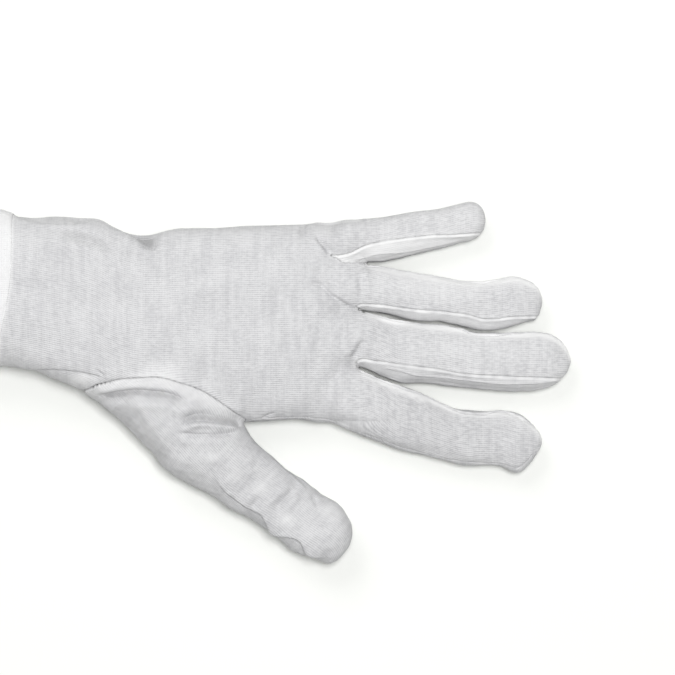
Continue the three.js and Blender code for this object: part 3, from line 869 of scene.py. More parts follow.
# %% Creases of the thumb
# creases across the joint
fold([[138.5, -70.6], [136.0, -73.5], [133.0, -76.4], [130.5, -79.4]],
     bumps=[(0, -1.3, 1.5), (3.4, 0.6, 1.8), (-3.2, 0.6, 1.8)], fade=3.5)
fold([[125.5, -73.5], [122.8, -76.5], [120.5, -79.0]],
     bumps=[(0, -1.0, 1.6), (-3.2, 0.5, 1.8)], fade=2.5)
fold([[146.9, -72.7], [148.6, -77.7]],
     bumps=[(0, -0.8, 1.0)], fade=2)
fold([[112.5, -58.0], [106.5, -63.5]],
     bumps=[(0, -0.7, 1.8)], fade=3)
# inner side: the seam's thread pulls a fine line
fold([[127.6, -55.4], [133.0, -60.0], [139.6, -65.0], [146.0, -70.6]],
     bumps=[(-1.0, -0.25, 0.4), (-1.9, 0.25, 0.6)], fade=4)
# outer side: the palm side laps over the layer below
fold([[105.3, -67.2], [109.9, -72.0], [113.7, -74.8], [119.2, -78.5], [124.2, -81.1],
      [127.0, -84.7], [130.5, -89.5], [136.8, -91.0], [141.0, -93.1], [143.8, -97.9],
      [148.0, -99.4], [152.2, -100.0]],
     bumps=[(0.8, 0.3, 0.8)], lap=(1.8, 0.9, 9.0), fade=6)
print("folds so far:", len(FOLDS))

# %% Lower edges of the strips
# the strips bend under the fingers here
fold([[163.0, 24.6], [168.4, 26.0], [174.6, 27.6], [183, 27.8], [187.2, 28.2], [195.6, 29.7],
      [204, 31.7], [209.2, 33.0]],
     bumps=[(0.3, 0.25, 0.5)], step=(0.8, 0.6, 6.0), fade=4)
fold([[176, -20.4], [183, -21.6], [190, -23.6], [201.9, -25.0], [212.4, -26.0], [225, -27.0],
      [233.4, -26.9], [243.9, -26.4], [249.5, -25.4]],
     bumps=[(0.3, 0.25, 0.5)], step=(0.8, 0.6, 6.0), fade=4)
print("folds so far:", len(FOLDS))

# %% [markdown]
# ## Needle holes and tight corners
# Where a seam starts or a corner is tight, the thread pulls the cloth down to a small pit. No light
# gets in, so each pit also gets a dot of painted shade in the cloth's colour.

# %% Dimples
DIMPLES = [
    # x, y, depth, radius, share of painted shade
    (154.4, 27.3, 0.8, 0.45, 0.5), (166.2, 4.4, 1.8, 0.5, 0.8), (54.1, -28.4, 0.4, 0.36, 0.7),
    (55.7, -27.5, 0.4, 0.36, 0.8), (57.4, -27.0, 0.4, 0.34, 0.7), (59.1, -26.6, 0.4, 0.32, 0.6),
    (61.2, -26.2, 0.3, 0.3, 0.4), (119.6, -43.3, 0.8, 0.6, 0.3), (77.2, 32.6, 1.4, 2.8, 0.05),
]


def spot(plan, x, y, radius):
    """A round soft spot: 1 in its middle, nothing far away."""
    return np.exp(-((plan[:, 0] - x) ** 2 + (plan[:, 1] - y) ** 2) / radius**2)


print(len(DIMPLES), "dimples, the deepest", max(d[2] for d in DIMPLES), "mm")


# %% Height of the folds
def profile(d, bumps, step, lap):
    """Height of a fold at signed distances from its line."""
    height = np.zeros(len(d))
    for offset, tall, width in bumps:
        height += tall * np.exp(-(((d - offset) / width) ** 2))
    if step:
        drop, width, far = step
        height -= drop * ease(-d, -0.3 * width, width) * (1 - ease(-d, 0.5 * far, far))
    if lap:
        rise, width, far = lap
        height += rise * ease(d, -0.5 * width, 0.5 * width) * (1 - ease(d, 0.1 * far, far))
    return height


def fold_height(points):
    """How much the folds and dimples raise the cloth at each point."""
    total, plan = np.zeros(len(points)), as_seen(points)
    for line, bumps, fade, step, lap in FOLDS:
        reach = (step or lap or (0, 0, 9.0))[2]
        low, high = line.min(axis=0) - reach, line.max(axis=0) + reach
        some = ((plan > low) & (plan < high)).all(axis=1)
        if not some.any():
            continue
        distance, _, along, side = nearest(line, plan[some])
        length = np.hypot(*np.diff(line, axis=0).T).sum()
        ends = ease(along, -1.0, fade) * ease(length - along, -1.0, fade)
        total[some] += profile(distance * side, bumps, step, lap) * ends
    for x, y, depth, radius, _ in DIMPLES:
        total -= depth * spot(plan, x, y, radius)
    return total


print("deepest fold on the skin:", fold_height(skin_points).min().round(1), "mm")

# %% [markdown]
# ## Painted shade
# Deep in a fold, in a tight crease, in a seam's groove and in a pit, the colour is painted darker.
# This painted shade adds to what a render shows on an evenly white cloth. The index finger and the
# thumb are painted a little darker too, as painted shade where they turn away from the light.

# %% How much painted shade the cloth gets
FOLD_SHADE = 0.3  # dark share in deep folds
CREASE_SHADE = 0.35  # and in tight creases
SEAM_SHADE = np.array([0.0, 0.3, 0.14])  # and in the grooves: side seam, gusset, strips
# painted shade on the index finger and the thumb, where they turn away from the light
PAINTED_SHADE_PLACES = [(200.0, -48.0, 24.0, 0.08), (122.0, -68.0, 26.0, 0.05)]  # x, y, radius, share


def painted_shade(points):
    """Share of painted shade at each point, without the seams."""
    plan = as_seen(points)
    dark = FOLD_SHADE * ease(-fold_height(points), 0.5, 2.4)
    for x, y, _, radius, share in DIMPLES:
        dark += share * spot(plan, x, y, radius)
    for x, y, radius, share in PAINTED_SHADE_PLACES:
        dark += share * spot(plan, x, y, radius)
    return np.clip(dark, 0, 1)


print("dark share in the middle of the thumb:", painted_shade(np.array([[120.0, -66, 28]])).round(2))

# %% [markdown]
# ## Unevenness
# No cloth is as even as a computed surface. A noise texture could push the points out and in, but
# a sum of slow waves in seeded directions is smooth everywhere. It gives the soft hollows that the
# light picks out. They are deeper on the loose cloth of the thumb. The palm also has faint upright
# ripples, where the stretched jersey rolls a little.

# %% Waves
waves = np.random.default_rng(7)


def wave_set(count, shortest, longest):
    """Directions and phases of waves, with their lengths in mm."""
    way = waves.normal(size=(count, 3))
    way /= np.linalg.norm(way, axis=1)[:, None]
    length = np.exp(waves.uniform(np.log(shortest), np.log(longest), count))
    return way * (2 * np.pi / length)[:, None], waves.uniform(0, 2 * np.pi, count)


def wave_height(points, wave_list):
    """Height of the waves, about 1 where many of them add up."""
    ways, phases = wave_list
    total = np.zeros(len(points))
    for way, phase in zip(ways, phases):
        total += np.cos(points @ way + phase)
    return total / math.sqrt(len(phases) / 2)


SOFT_WAVES = wave_set(28, 14, 45)
SMALL_WAVES = wave_set(36, 4, 9)
print("soft waves reach", wave_height(skin_points, SOFT_WAVES).max().round(1), "times their height")

# %% Soft hollows
SOFT_HEIGHT, SMALL_HEIGHT, RIPPLE_HEIGHT = 0.28, 0.05, 0.12  # mm


def unevenness(points):
    """How much the cloth stands out or in without a fold."""
    palm = ease(points[:, 0], 80, 105) * (1 - ease(points[:, 0], 140, 150))
    palm *= ease(points[:, 1], -42, -30) * (1 - ease(points[:, 1], 26, 36))
    ripples = np.sin(points[:, 0] * 0.5 + 1.5 * np.sin(points[:, 1] * 0.08))
    small = wave_height(points, SMALL_WAVES)
    loose = 1 + ease(-points[:, 1], 48, 60) * (1 - ease(points[:, 0], 150, 165))
    soft = SOFT_HEIGHT * loose * wave_height(points, SOFT_WAVES)
    return soft + SMALL_HEIGHT * loose * small + RIPPLE_HEIGHT * palm * ripples


print("hollows and swellings reach", np.abs(unevenness(skin_points)).max().round(1), "mm")

# %% [markdown]
# ## Seam profile
# At a turned seam both edges roll inwards and meet in a groove. The thread pulls the cloth down at
# each stitch, so the groove is deeper there, and the edge between two stitches swells a little.
# Nothing of the thread shows from outside on a well-sewn glove, only its pull. So no threads are
# modelled: each point near a seam is moved by its distance from the seam and its place along it.


# %% Nearest seam
def seam_field(points, normals):
    """Distance along the cloth to the nearest seam, length along that seam, and whether it is a
    strip's seam (2), the gusset's (1) or the side seam (0)."""
    best, place = np.full(len(points), 99.0), np.zeros(len(points))
    owned, kind = np.zeros(len(points), bool), np.zeros(len(points), int)
    for name in OUTLINES:
        signed, slopes, along = region(name, points, sewn=True)
        index = np.flatnonzero(signed > -6)
        tilt = (slopes[index] * normals[index]).sum(axis=1)
        distance = np.abs(signed[index]) / np.sqrt(np.maximum(1 - tilt**2, 0.05))
        closer = distance < best[index]
        best[index[closer]] = distance[closer]
        place[index[closer]] = along[index[closer]]
        kind[index[closer]] = 2 if name in STRIPS else 1
        owned |= signed > 0.03
    upright = np.sqrt(np.maximum(1 - normals[:, 2] ** 2, 0.05))
    side = np.abs(points[:, 2] - parting(points)) / upright
    closer = ~owned & (side < best)
    best[closer], place[closer], kind[closer] = side[closer], points[closer, 0], 0
    return best, place, kind


skin_points, skin_normals = onto_skin(skin_points)
seam_distance = seam_field(skin_points, skin_normals)[0]
print("points within 1 mm of a seam:", (seam_distance < 1).sum())

# %% Groove and ridge
STITCH = 2.4  # mm, about ten and a half stitches to the inch
SEAM_DIP, SEAM_DIP_WIDTH = 0.42, 0.38
RIDGE_AT, RIDGE_WIDTH = 1.0, 0.7
RIDGES = {"strip": 0.3, "thumb": 0.24, "panel": 0.08}  # mm high, on each side of a seam


def seam_height(distance, along, ridge):
    """Shape across a seam: the groove at the line, and the ridge beside it."""
    pull = 0.5 + 0.5 * np.cos(2 * np.pi * along / STITCH)
    wander = 0.2 * np.sin(along * 0.71) + 0.15 * np.sin(along * 1.93 + 1.0)
    dip = SEAM_DIP * (0.8 + 0.4 * pull + wander) * np.exp(-((distance / SEAM_DIP_WIDTH) ** 1.5))
    lip = ridge * (1.1 - 0.3 * pull + wander)
    return lip * np.exp(-(((distance - RIDGE_AT) / RIDGE_WIDTH) ** 2)) - dip


print("height at 0, 0.5 and 1 mm from a strip's seam:",
      seam_height(np.array([0.0, 0.5, 1.0]), 0.0, RIDGES["strip"]).round(2))

# %% [markdown]
# ## Finer skin
# Seams and folds are narrower than the faces of the skin. Only there the edges are halved, which
# keeps the number of faces low elsewhere. A subdivision of the whole skin would be four times as
# heavy.

# %% Refine near the seams and the folds
busy = np.abs(fold_height(skin_points)) > 0.12
busy &= skin_normals[:, 2] > 0
skin_points, skin_faces = refine(skin_points, skin_faces, (seam_distance < 1.3) | busy)
skin_points, _ = onto_skin(skin_points, 1)
print("refined skin:", len(skin_points), "points,", len(skin_faces), "faces")

# %% [markdown]
# ## Cutting the pieces
# The hem's place comes off first, then the thumb, then the three strips. What is left is parted
# along the side seam into palm and back. Each cut gives both sides the same edge, so they fit. The
# turned hem is made on its own later, and its inner edge runs askew.

# %% Inner edge of the hem
HEM_EDGE = smooth_rows([
    [-30, 16.0], [-17, 16.2], [-6.3, 17.6], [8.4, 20.6], [21, 22.0], [35.7, 22.0], [50, 21.4],
])


def hem_edge(y):
    return np.interp(y, *HEM_EDGE.T)


print("depth of the hem on the two sides:", hem_edge(np.array([-19.0, 46.6])).round(1), "mm")

# %% Cut along the seams
pieces = {}
rest, _ = cut(skin_points, skin_faces, skin_points[:, 0] - hem_edge(skin_points[:, 1]))
for name in OUTLINES:
    pieces[name], rest = cut(*rest, region(name, rest[0])[0])
pieces["palm_panel"], pieces["back_panel"] = cut(*rest, rest[0][:, 2] - parting(rest[0]))
for name, (points, faces) in pieces.items():
    print(f"{name:26s} {len(points):7d} points {len(faces):7d} faces")

# %% [markdown]
# ## Relief
# Folds, hollows and seam profiles are added up to one height for each point. A displacement
# modifier could do this with a texture, but plain arithmetic on the points gives each piece its own
# profile. Folds show on the palm side only, and in a tight crease the cloth has no room to stand
# out.


# %% Relief of the cloth
HEM_PULL, HEM_PULL_AT, HEM_PULL_WIDTH = 0.45, 1.8, 1.3  # mm, how the sewn hem draws the cloth in


def room(points, normals):
    """How freely the cloth can stand out: 1 in the open, 0 in a tight crease."""
    return ease(glove_value(*(points + 0.9 * normals).T) / 0.9, 0.2, 0.8)


def relief(name, points, normals, distance, along):
    """How far the cloth of a piece stands out from the skin."""
    top = ease(normals[:, 2], 0.0, 0.35)
    height = fold_height(points) * top + unevenness(points) * ease(distance, 0, 3)
    if name in ("palm_panel", "back_panel"):
        beside = points[:, 0] - hem_edge(points[:, 1]) - HEM_PULL_AT
        height -= HEM_PULL * np.exp(-((beside / HEM_PULL_WIDTH) ** 2))
    ridge = RIDGES["strip" if name in STRIPS else "thumb" if name == "thumb" else "panel"]
    height += seam_height(distance, along, ridge)
    return height * room(points, normals)


print("kinds of seam ridges:", ", ".join(RIDGES))

# %% [markdown]
# ## Whiter places
# Thin cotton is a little see-through, so it is whiter where a turned edge lies below it: beside the
# seams and at the hem. The other white places are painted highlights, where light falls: on folds
# and patches of the palm and the thumb, along the upper edges of the fingers, over the little, ring
# and middle fingers, and on the strips, whose cloth is partly whiter itself. Every point gets a
# share from 0 to 1, which the material reads.

# %% Places with a painted highlight
PAINTED_HIGHLIGHTS = [
    # x, y, half length, half width, share
    (49.5, -24.6, 4.5, 2.2, 0.7), (84.3, -20.0, 15.0, 3.6, 0.2),
    (176.0, 15.5, 7.0, 5.0, 0.15), (187.0, 14.7, 8.0, 5.5, 0.2), (198.0, 13.2, 9.0, 5.5, 0.2),
    (209.0, 12.0, 8.0, 5.0, 0.15), (103.6, -57.5, 2.8, 2.4, 0.35), (114.1, -65.5, 2.6, 2.6, 0.35),
    (124.2, -70.6, 3.4, 2.6, 0.45), (135.1, -83.2, 3.2, 2.8, 0.5), (154.4, -79.5, 5.0, 5.0, 0.4),
    (164.8, -18.6, 1.6, 1.6, 0.8), (168.3, -23.0, 2.2, 1.2, 0.8), (172.0, -24.8, 2.2, 1.2, 0.8),
    (176.0, -26.6, 2.2, 1.2, 0.8), (180.0, -28.2, 2.2, 1.2, 0.8), (184.0, -29.9, 2.2, 1.2, 0.8),
    (188.0, -31.6, 2.2, 1.2, 0.7), (192.0, -33.4, 2.2, 1.2, 0.5), (210.0, 36.0, 40.0, 16.0, 0.15),
    (215.0, -14.0, 30.0, 8.0, 0.15),
]
EDGE_WHITE, LIP_WHITE = 0.5, 0.45  # beside a strip's seams, on the strip and on the finger
GUSSET_WHITE = 0.35  # beside the gusset's seam
# the strips' share is partly whiter cloth and partly painted light, strongest on the little
# finger's strip
STRIP_WHITE = {
    "fourchette_ring_little": 0.75, "fourchette_middle_ring": 0.35, "fourchette_index_middle": 0.2,
}


def fingers_edge(points):
    """How near a point is to the upper edge of a finger below it: 0 at the edge, less inside."""
    best = np.full(len(points), -99.0)
    for finger in fingers[1:]:
        station, across, past = locate(finger, points[:, 0], points[:, 1])
        half = finger.sizes(station)[0]
        near = np.where((past < 0) & (np.abs(across) < half), across - half, -99.0)
        best = np.maximum(best, near)
    return best


print("places that stand clear:", len(PAINTED_HIGHLIGHTS))


# %% Share of doubled cloth and of painted highlight
def palm_white(points, distance, kind):
    """The palm's own white places: the arc of the gusset and the hem, and painted highlights on the
    upper edges of the fingers.
    """
    arc = ease(points[:, 0], 68, 76) * (1 - ease(points[:, 0], 88, 98))
    share = 0.4 * (kind == 1) * arc * np.exp(-((distance / 1.6) ** 2))
    share += 0.5 * (1 - ease(points[:, 0] - hem_edge(points[:, 1]), 0.0, 1.6))
    edge = fingers_edge(points)
    # painted highlight along the upper edges of the fingers
    rims = 0.25 * ease(edge, -5.0, -2.0) + 0.75 * ease(edge, -2.8, -1.0)
    return share + rims * ease(points[:, 0], 163, 171)


def doubled_and_highlight(name, points, normals, distance, kind):
    """Share of cloth that has a turned edge below it, and of painted highlight where light falls.
    """
    top = ease(normals[:, 2], -0.1, 0.3)
    broken = np.clip(0.65 + 0.35 * wave_height(points, SMALL_WAVES), 0, 1.3)
    if name in STRIPS:
        front = ease(points[:, 2] - parting(points), 0, 3)
        edge = EDGE_WHITE * np.exp(-((distance / 1.6) ** 2)) * front * broken
        return np.clip(top * (STRIP_WHITE[name] + edge), 0, 1)
    share = LIP_WHITE * np.exp(-((distance / 1.2) ** 2)) * (kind == 2) * broken
    if name == "thumb":
        share += (kind == 1) * top * (1 - ease(distance, 2.0, 7.5)) * GUSSET_WHITE
    plan = as_seen(points)
    # painted highlights at the listed places, only where the cloth faces up
    for x, y, length, width, white in PAINTED_HIGHLIGHTS:
        off = ((plan[:, 0] - x) / length) ** 2 + ((plan[:, 1] - y) / width) ** 2
        share += white * np.exp(-off) * top
    if name == "palm_panel":
        share += palm_white(points, distance, kind)
    return np.clip(share, 0, 1)


print("whitest strip:", max(STRIP_WHITE, key=STRIP_WHITE.get))

# %% [markdown]
# ## Thickness
# A solidify modifier would give the cloth its thickness, but at a tight crease its inner wall comes
# out through the outer one. Here the inner wall is set in from the smooth skin, without the relief.
# A rim then joins the two walls all round, so each piece is one closed shell.


# %% Closed shell
def edge_loop(faces):
    """Edges that only one face uses, in that face's direction."""
    edges = faces[:, [0, 1, 1, 2, 2, 0]].reshape(-1, 2).astype(np.int64)
    low, high = np.sort(edges, axis=1).T
    _, where, count = np.unique(
        low * (high.max() + 1) + high, return_inverse=True, return_counts=True
    )
    return edges[count[where.ravel()] == 1]


def thicken(outer, inner, faces):
    """A closed shell from an outer and an inner wall with the same faces."""
    shift = len(outer)
    rim = edge_loop(faces)
    a, b = rim.T
    walls = np.vstack([
        np.stack([b, a, a + shift], axis=1),
        np.stack([b, a + shift, b + shift], axis=1),
    ])
    return np.vstack([outer, inner]), np.vstack([faces, faces[:, ::-1] + shift, walls])


shell, shell_faces = thicken(patch[0] + [0, 0, 1], *patch)
print("the patch as a shell:", len(shell), "points,", len(shell_faces), "faces")

# %% [markdown]
# ## Shape of each piece
# Rows of points are scored in beside each seam first, at the bottom and at the top of its lip, so
# the groove has a clean section everywhere. The shape is then made in the order of the last steps:
# relief, inner wall, white share with its painted highlights, and painted shade.

# %% Shape one piece
CLOTH_THICKNESS = 1.25  # mm: thicker than real jersey, so that the shells hold together
LINING_FLOOR = 0.4  # mm, the inner wall stays this high above the table
SEAM_ROWS = (0.22, 0.5, 1.0)  # mm from the seam


def add_rows(points, faces):
    """Scores rows of points beside the seams."""
    for offset in SEAM_ROWS:
        _, normals = onto_skin(points, 0)
        distance = seam_field(points, normals)[0]
        points, faces, _ = score(points, faces, distance - offset)
        points, faces = used_only(points, faces)
    return points, faces


def shape_piece(name, points, faces):
    """Outer wall with its relief, inner wall, faces, the flat points, and the two shares."""
    points, faces = add_rows(points, faces)
    flat, normals = onto_skin(points, 1)
    distance, along, kind = seam_field(flat, normals)
    outer = flat + relief(name, flat, normals, distance, along)[:, None] * normals
    inner = flat - CLOTH_THICKNESS * normals
    outer[:, 2] = np.maximum(outer[:, 2], 0.0)
    inner[:, 2] = np.maximum(inner[:, 2], LINING_FLOOR)
    layers_and_highlight = doubled_and_highlight(name, flat, normals, distance, kind)
    # painted shade in the seams' grooves, in folds and pits, and in tight creases, only where the
    # cloth faces up
    groove = SEAM_SHADE[kind] * np.exp(-((distance / 0.3) ** 2))
    dark = (painted_shade(flat) + groove) * ease(normals[:, 2], 0, 0.2)
    dark += CREASE_SHADE * (1 - room(flat, normals))
    return outer, inner, faces, flat, layers_and_highlight, dark


print("thickness of the cloth:", CLOTH_THICKNESS, "mm")

# %% [markdown]
# ## Wales
# Jersey is knitted in columns of loops called wales. They run the length of the hand, and follow
# each finger. Every point keeps two lengths in millimetres: how far along its wale it is, and how
# far across. The material draws the stitches from them, so they bend with the cloth, which an
# ordinary flat projection would not do.

# %% Wales of the hand
WALES_STRAIGHT = 146.0  # beyond this x the hand's wales run straight on, up to the fingers
PALM_SIDE, BACK_SIDE = 1, 2  # which length round a tube counts: from its top or its bottom line


def middle_at(tube, x):
    return np.interp(x, tube.middle[:, 0], tube.middle[:, 1])


def across_hand(points, side):
    """Lengths round the hand. Past the knuckles they are as on its last full section."""
    level = points.copy()
    level[:, 0] = np.minimum(level[:, 0], WALES_STRAIGHT)
    station, across, _ = locate(hand, level[:, 0], level[:, 1])
    half, lift, tall = hand.sizes(station)
    n = hand.roundness
    up = tall * (1 - np.clip(np.abs(across) / half, 0, 0.999) ** n) ** (1 / n)
    past = ease(points[:, 0], WALES_STRAIGHT - 12, WALES_STRAIGHT)
    level[:, 2] += past * (lift + (up if side == PALM_SIDE else -up) - level[:, 2])
    return wrap(hand, level)[side]


print("across the palm at y = 30:",
      across_hand(np.array([[100.0, 30, 30], [160, 30, 20]]), PALM_SIDE).round(1))

# %% Wales of the fingers and of the thumb
FINGER_ROOT = 166.0  # the fingers' wales are laid beside each other as they are at this x


def across_fingers(points, side):
    """Lengths round the nearest finger, counted from the middle of the hand."""
    owner = np.stack([outside(finger, *points.T) for finger in fingers]).argmin(axis=0)
    across = np.zeros(len(points))
    for i, finger in enumerate(fingers):
        mine = owner == i
        root = middle_at(finger, FINGER_ROOT) - middle_at(hand, WALES_STRAIGHT)
        across[mine] = wrap(finger, points[mine])[side] + root
    return across


def wale_places(name, points):
    """Lengths along and across the wales."""
    if name == "thumb":
        along, from_top, _ = wrap(thumb, points)
        level = locate(thumb, points[:, 0], points[:, 1])[1]  # beside the thumb, level lengths
        return along, np.where(np.abs(level) > np.abs(from_top), level, from_top)
    side = BACK_SIDE if name == "back_panel" else PALM_SIDE
    on_finger = ease(points[:, 0], 163, 183)
    if name in STRIPS:
        on_finger = np.ones(len(points))
    of_hand, of_finger = across_hand(points, side), across_fingers(points, side)
    return points[:, 0], of_hand * (1 - on_finger) + of_finger * on_finger


print("roots of the fingers:", [round(float(middle_at(f, FINGER_ROOT)), 1) for f in fingers])

# %% [markdown]
# ## Meshes
# The arrays become Blender meshes. Each point's two wale lengths and its two shares go in as mesh
# attributes. The inner wall is smooth and is only seen through the cuff's mouth, so it is thinned
# out, which keeps every piece light enough to hand on.


# %% From arrays to an object
made = {}


def mesh_piece(name, points, faces, along, across, layers_and_highlight, dark):
    """A smooth object with the attributes that the material reads."""
    mesh = bpy.data.meshes.new(name)
    mesh.vertices.add(len(points))
    mesh.vertices.foreach_set("co", to_metres(points).astype(np.float32).ravel())
    mesh.loops.add(faces.size)
    mesh.loops.foreach_set("vertex_index", faces.astype(np.int32).ravel())
    mesh.polygons.add(len(faces))
    mesh.polygons.foreach_set("loop_start", np.arange(0, faces.size, 3, dtype=np.int32))
    mesh.polygons.foreach_set("use_smooth", np.ones(len(faces), bool))
    mesh.update(calc_edges=True)
    # the third number in wales is the share of painted shade
    wales = mesh.attributes.new("wales", "FLOAT_VECTOR", "POINT")
    wales.data.foreach_set(
        "vector", np.stack([along, across, dark], axis=1).astype(np.float32).ravel()
    )
    # white share: doubled cloth and painted highlights
    doubling_and_highlight = mesh.attributes.new("doubled_and_highlight", "FLOAT", "POINT")
    doubling_and_highlight.data.foreach_set("value", layers_and_highlight.astype(np.float32))
    mesh.validate()
    piece = bpy.data.objects.new(name, mesh)
    bpy.context.scene.collection.objects.link(piece)
    made[name] = piece
    return piece


print("attributes: wales holds along, across and the dark share, doubled holds the white share")

# %% Thinner lining
LINING_KEPT = 0.64  # share of a piece's faces left when its smooth inner wall is thinned


def thin_lining(piece, first):
    """Fewer faces on the inner wall, which is smooth, from its first point on."""
    group = piece.vertex_groups.new(name="lining")
    group.add(list(range(first, len(piece.data.vertices))), 1.0, "REPLACE")
    thinning = piece.modifiers.new("thin_lining", "DECIMATE")
    thinning.ratio = LINING_KEPT
    thinning.vertex_group = "lining"
    seen = piece.evaluated_get(bpy.context.evaluated_depsgraph_get())
    mesh = bpy.data.meshes.new_from_object(seen)
    piece.modifiers.clear()
    piece.vertex_groups.clear()
    piece.data = mesh


print("share of the faces kept:", LINING_KEPT)

# %% Make the pieces
for name, (points, faces) in pieces.items():
    outer, inner, faces, flat, layers_and_highlight, dark = shape_piece(name, points, faces)
    marks = (*wale_places(name, flat), layers_and_highlight, dark)
    shell, shell_faces = thicken(outer, inner, faces)
    piece = mesh_piece("cloth_" + name, shell, shell_faces, *(np.tile(v, 2) for v in marks))
    thin_lining(piece, len(outer))
    print(f"{name:26s} {len(shell_faces):7d} faces, {len(piece.data.polygons):7d} kept")

# %% [markdown]
# ## Turned hem
# The cuff's edge is folded in once and held by a row of lockstitch, so it is two layers thick and
# stands a little proud. It could be cut from the same skin, but a fold has a round edge and an
# inside of its own. So it is swept: one closed section through both layers is carried round the
# cuff. The row of stitches pulls a shallow groove into it.

# %% Section of the hem
HEM_DEPTH = 18.0  # mean depth of the hem
HEM_PROUD = 0.4  # how far it stands out from the cloth
HEM_THICKNESS = 2.1


def hem_section():
    """Places (x, depth below the cloth's outer face) round the folded hem, starting outside."""
    radius = HEM_THICKNESS / 2
    turn = np.linspace(np.pi / 2, 3 * np.pi / 2, 13)
    outer = [(x, 0.0) for x in np.linspace(HEM_DEPTH, radius + 0.8, 44)]
    fold = [(radius + radius * math.cos(t), radius - radius * math.sin(t)) for t in turn]
    inner = [(x, HEM_THICKNESS) for x in np.linspace(radius + 0.8, HEM_DEPTH - 0.5, 18)]
    back = [(HEM_DEPTH, HEM_THICKNESS - 0.5), (HEM_DEPTH, 1.2)]
    return np.array(outer + fold + inner + back)


section = hem_section()
print("the hem's section has", len(section), "points")

# %% Ring round the cuff
HEM_STEPS = 420  # sections round the cuff


def cuff_ring(x, steps):
    """Points evenly spaced round the cuff at x, and their lengths round it."""
    fine = np.linspace(0, 2 * np.pi, 721)
    half, lift, tall = hand.sizes(np.interp(x, hand.middle[:, 0], hand.index))
    y, z = middle_at(hand, x) + half * np.cos(fine), lift + tall * np.sin(fine)
    ring, _ = onto_skin(np.stack([np.full(len(fine), x), y, z], axis=1), 4)
    length = np.concatenate([[0], np.cumsum(np.hypot(*np.diff(ring[:, 1:], axis=0).T))])
    at = np.arange(steps) / steps * length[-1]
    y, z = np.interp(at, length, ring[:, 1]), np.interp(at, length, ring[:, 2])
    return np.stack([np.full(steps, x), y, z], axis=1), at


ring, ring_length = cuff_ring(HEM_DEPTH / 2, HEM_STEPS)
print("hem:", round(ring_length[-1]), "mm round")

# %% Sweep the hem round the cuff
HEM_STITCH = 2.9  # mm, from one stitch to the next
ROW_FROM_EDGE = 1.9  # mm, from the hem's inner edge to its row of stitches
ROW_DEPTH, ROW_WIDTH = 0.16, 0.5  # mm, the groove that the row pulls into the cloth
STITCH_PULL = 0.16  # mm, how much deeper it is at a stitch
askew = hem_edge(ring[:, 1]) / HEM_DEPTH
pull = 0.5 + 0.5 * np.cos(2 * np.pi * ring_length / HEM_STITCH)
ripple = 0.1 * np.sin(ring_length * 0.9 + 0.6 * np.sin(ring_length * 0.31))
rings = []
for x, depth in section:
    points = ring.copy()
    points[:, 0] = x * askew
    points, out = onto_skin(points, 3)
    points[:, 0] = x * askew
    from_edge = HEM_DEPTH - x
    proud = HEM_PROUD * ease(from_edge, 0.0, 1.4)
    swell = ripple + 0.25 * wave_height(points, SOFT_WAVES)
    proud += swell * ease(x, 1, 8) * ease(from_edge, 0, 2)
    groove = math.exp(-(((from_edge - ROW_FROM_EDGE) / ROW_WIDTH) ** 2))
    proud -= (ROW_DEPTH + STITCH_PULL * pull) * groove
    rings.append(points + (np.where(depth < 1.0, proud, 0.2) - depth)[:, None] * out)
rings = np.array(rings)
print("stitches of the hem:", round(ring_length[-1] / HEM_STITCH))

# %% Faces of the hem
index = np.arange(rings.shape[0] * HEM_STEPS).reshape(rings.shape[0], HEM_STEPS)
a, b = index, np.roll(index, -1, axis=1)
c, d = np.roll(b, -1, axis=0), np.roll(a, -1, axis=0)
hem_faces = np.vstack([
    np.stack([a.ravel(), b.ravel(), c.ravel()], axis=1),
    np.stack([a.ravel(), c.ravel(), d.ravel()], axis=1),
])
hem_points = rings.reshape(-1, 3)
corners = hem_points[hem_faces]
if np.einsum("ij,ij->i", corners[:, 0], np.cross(corners[:, 1], corners[:, 2])).sum() < 0:
    hem_faces = hem_faces[:, ::-1]
mesh_piece(
    "cloth_cuff_hem", hem_points, hem_faces, hem_points[:, 0],
    np.tile(ring_length, len(rings)), np.full(len(hem_points), 0.6), np.zeros(len(hem_points)),
)
print("hem:", len(hem_faces), "faces")

# %% [markdown]
# ## Nodes and colours
# Materials are built from nodes in code. One function turns an sRGB hex colour into the linear
# numbers that Blender wants, and one adds a node with its settings and links.


# %% Nodes and colours
def srgb(code):
    """Linear colour from an sRGB hex value."""
    parts = [int(code[i:i + 2], 16) / 255 for i in (1, 3, 5)]
    return [p / 12.92 if p <= 0.04045 else ((p + 0.055) / 1.055) ** 2.4 for p in parts] + [1.0]


def add(tree, kind, inputs=None, **settings):
    """A new node with its settings, its input values and its links."""
    node = tree.nodes.new(kind)
    for key, value in settings.items():
        setattr(node, key, value)
    for key, value in (inputs or {}).items():
        socket = node.inputs[key]
        if isinstance(value, bpy.types.NodeSocket):
            tree.links.new(value, socket)
        else:
            socket.default_value = value
    return node


print("middle grey as linear numbers:", [round(v, 3) for v in srgb("#808080")])

# %% [markdown]
# ## Loops of jersey
# Up close, jersey is columns of small V-shaped loops. The columns are a sine across the wales, and
# the V comes from rows that zigzag with the columns. They are drawn 0.85 mm apart, as on the real
# glove. The rows are really about 0.6 mm apart. They are drawn coarser, so that the picture shows
# them.

# %% Columns and rows of loops
WALE = 0.85  # mm between columns of loops
COURSE = 1.1  # mm between rows of loops
WAVE_FACTOR = 20  # the wave texture multiplies its coordinate by this


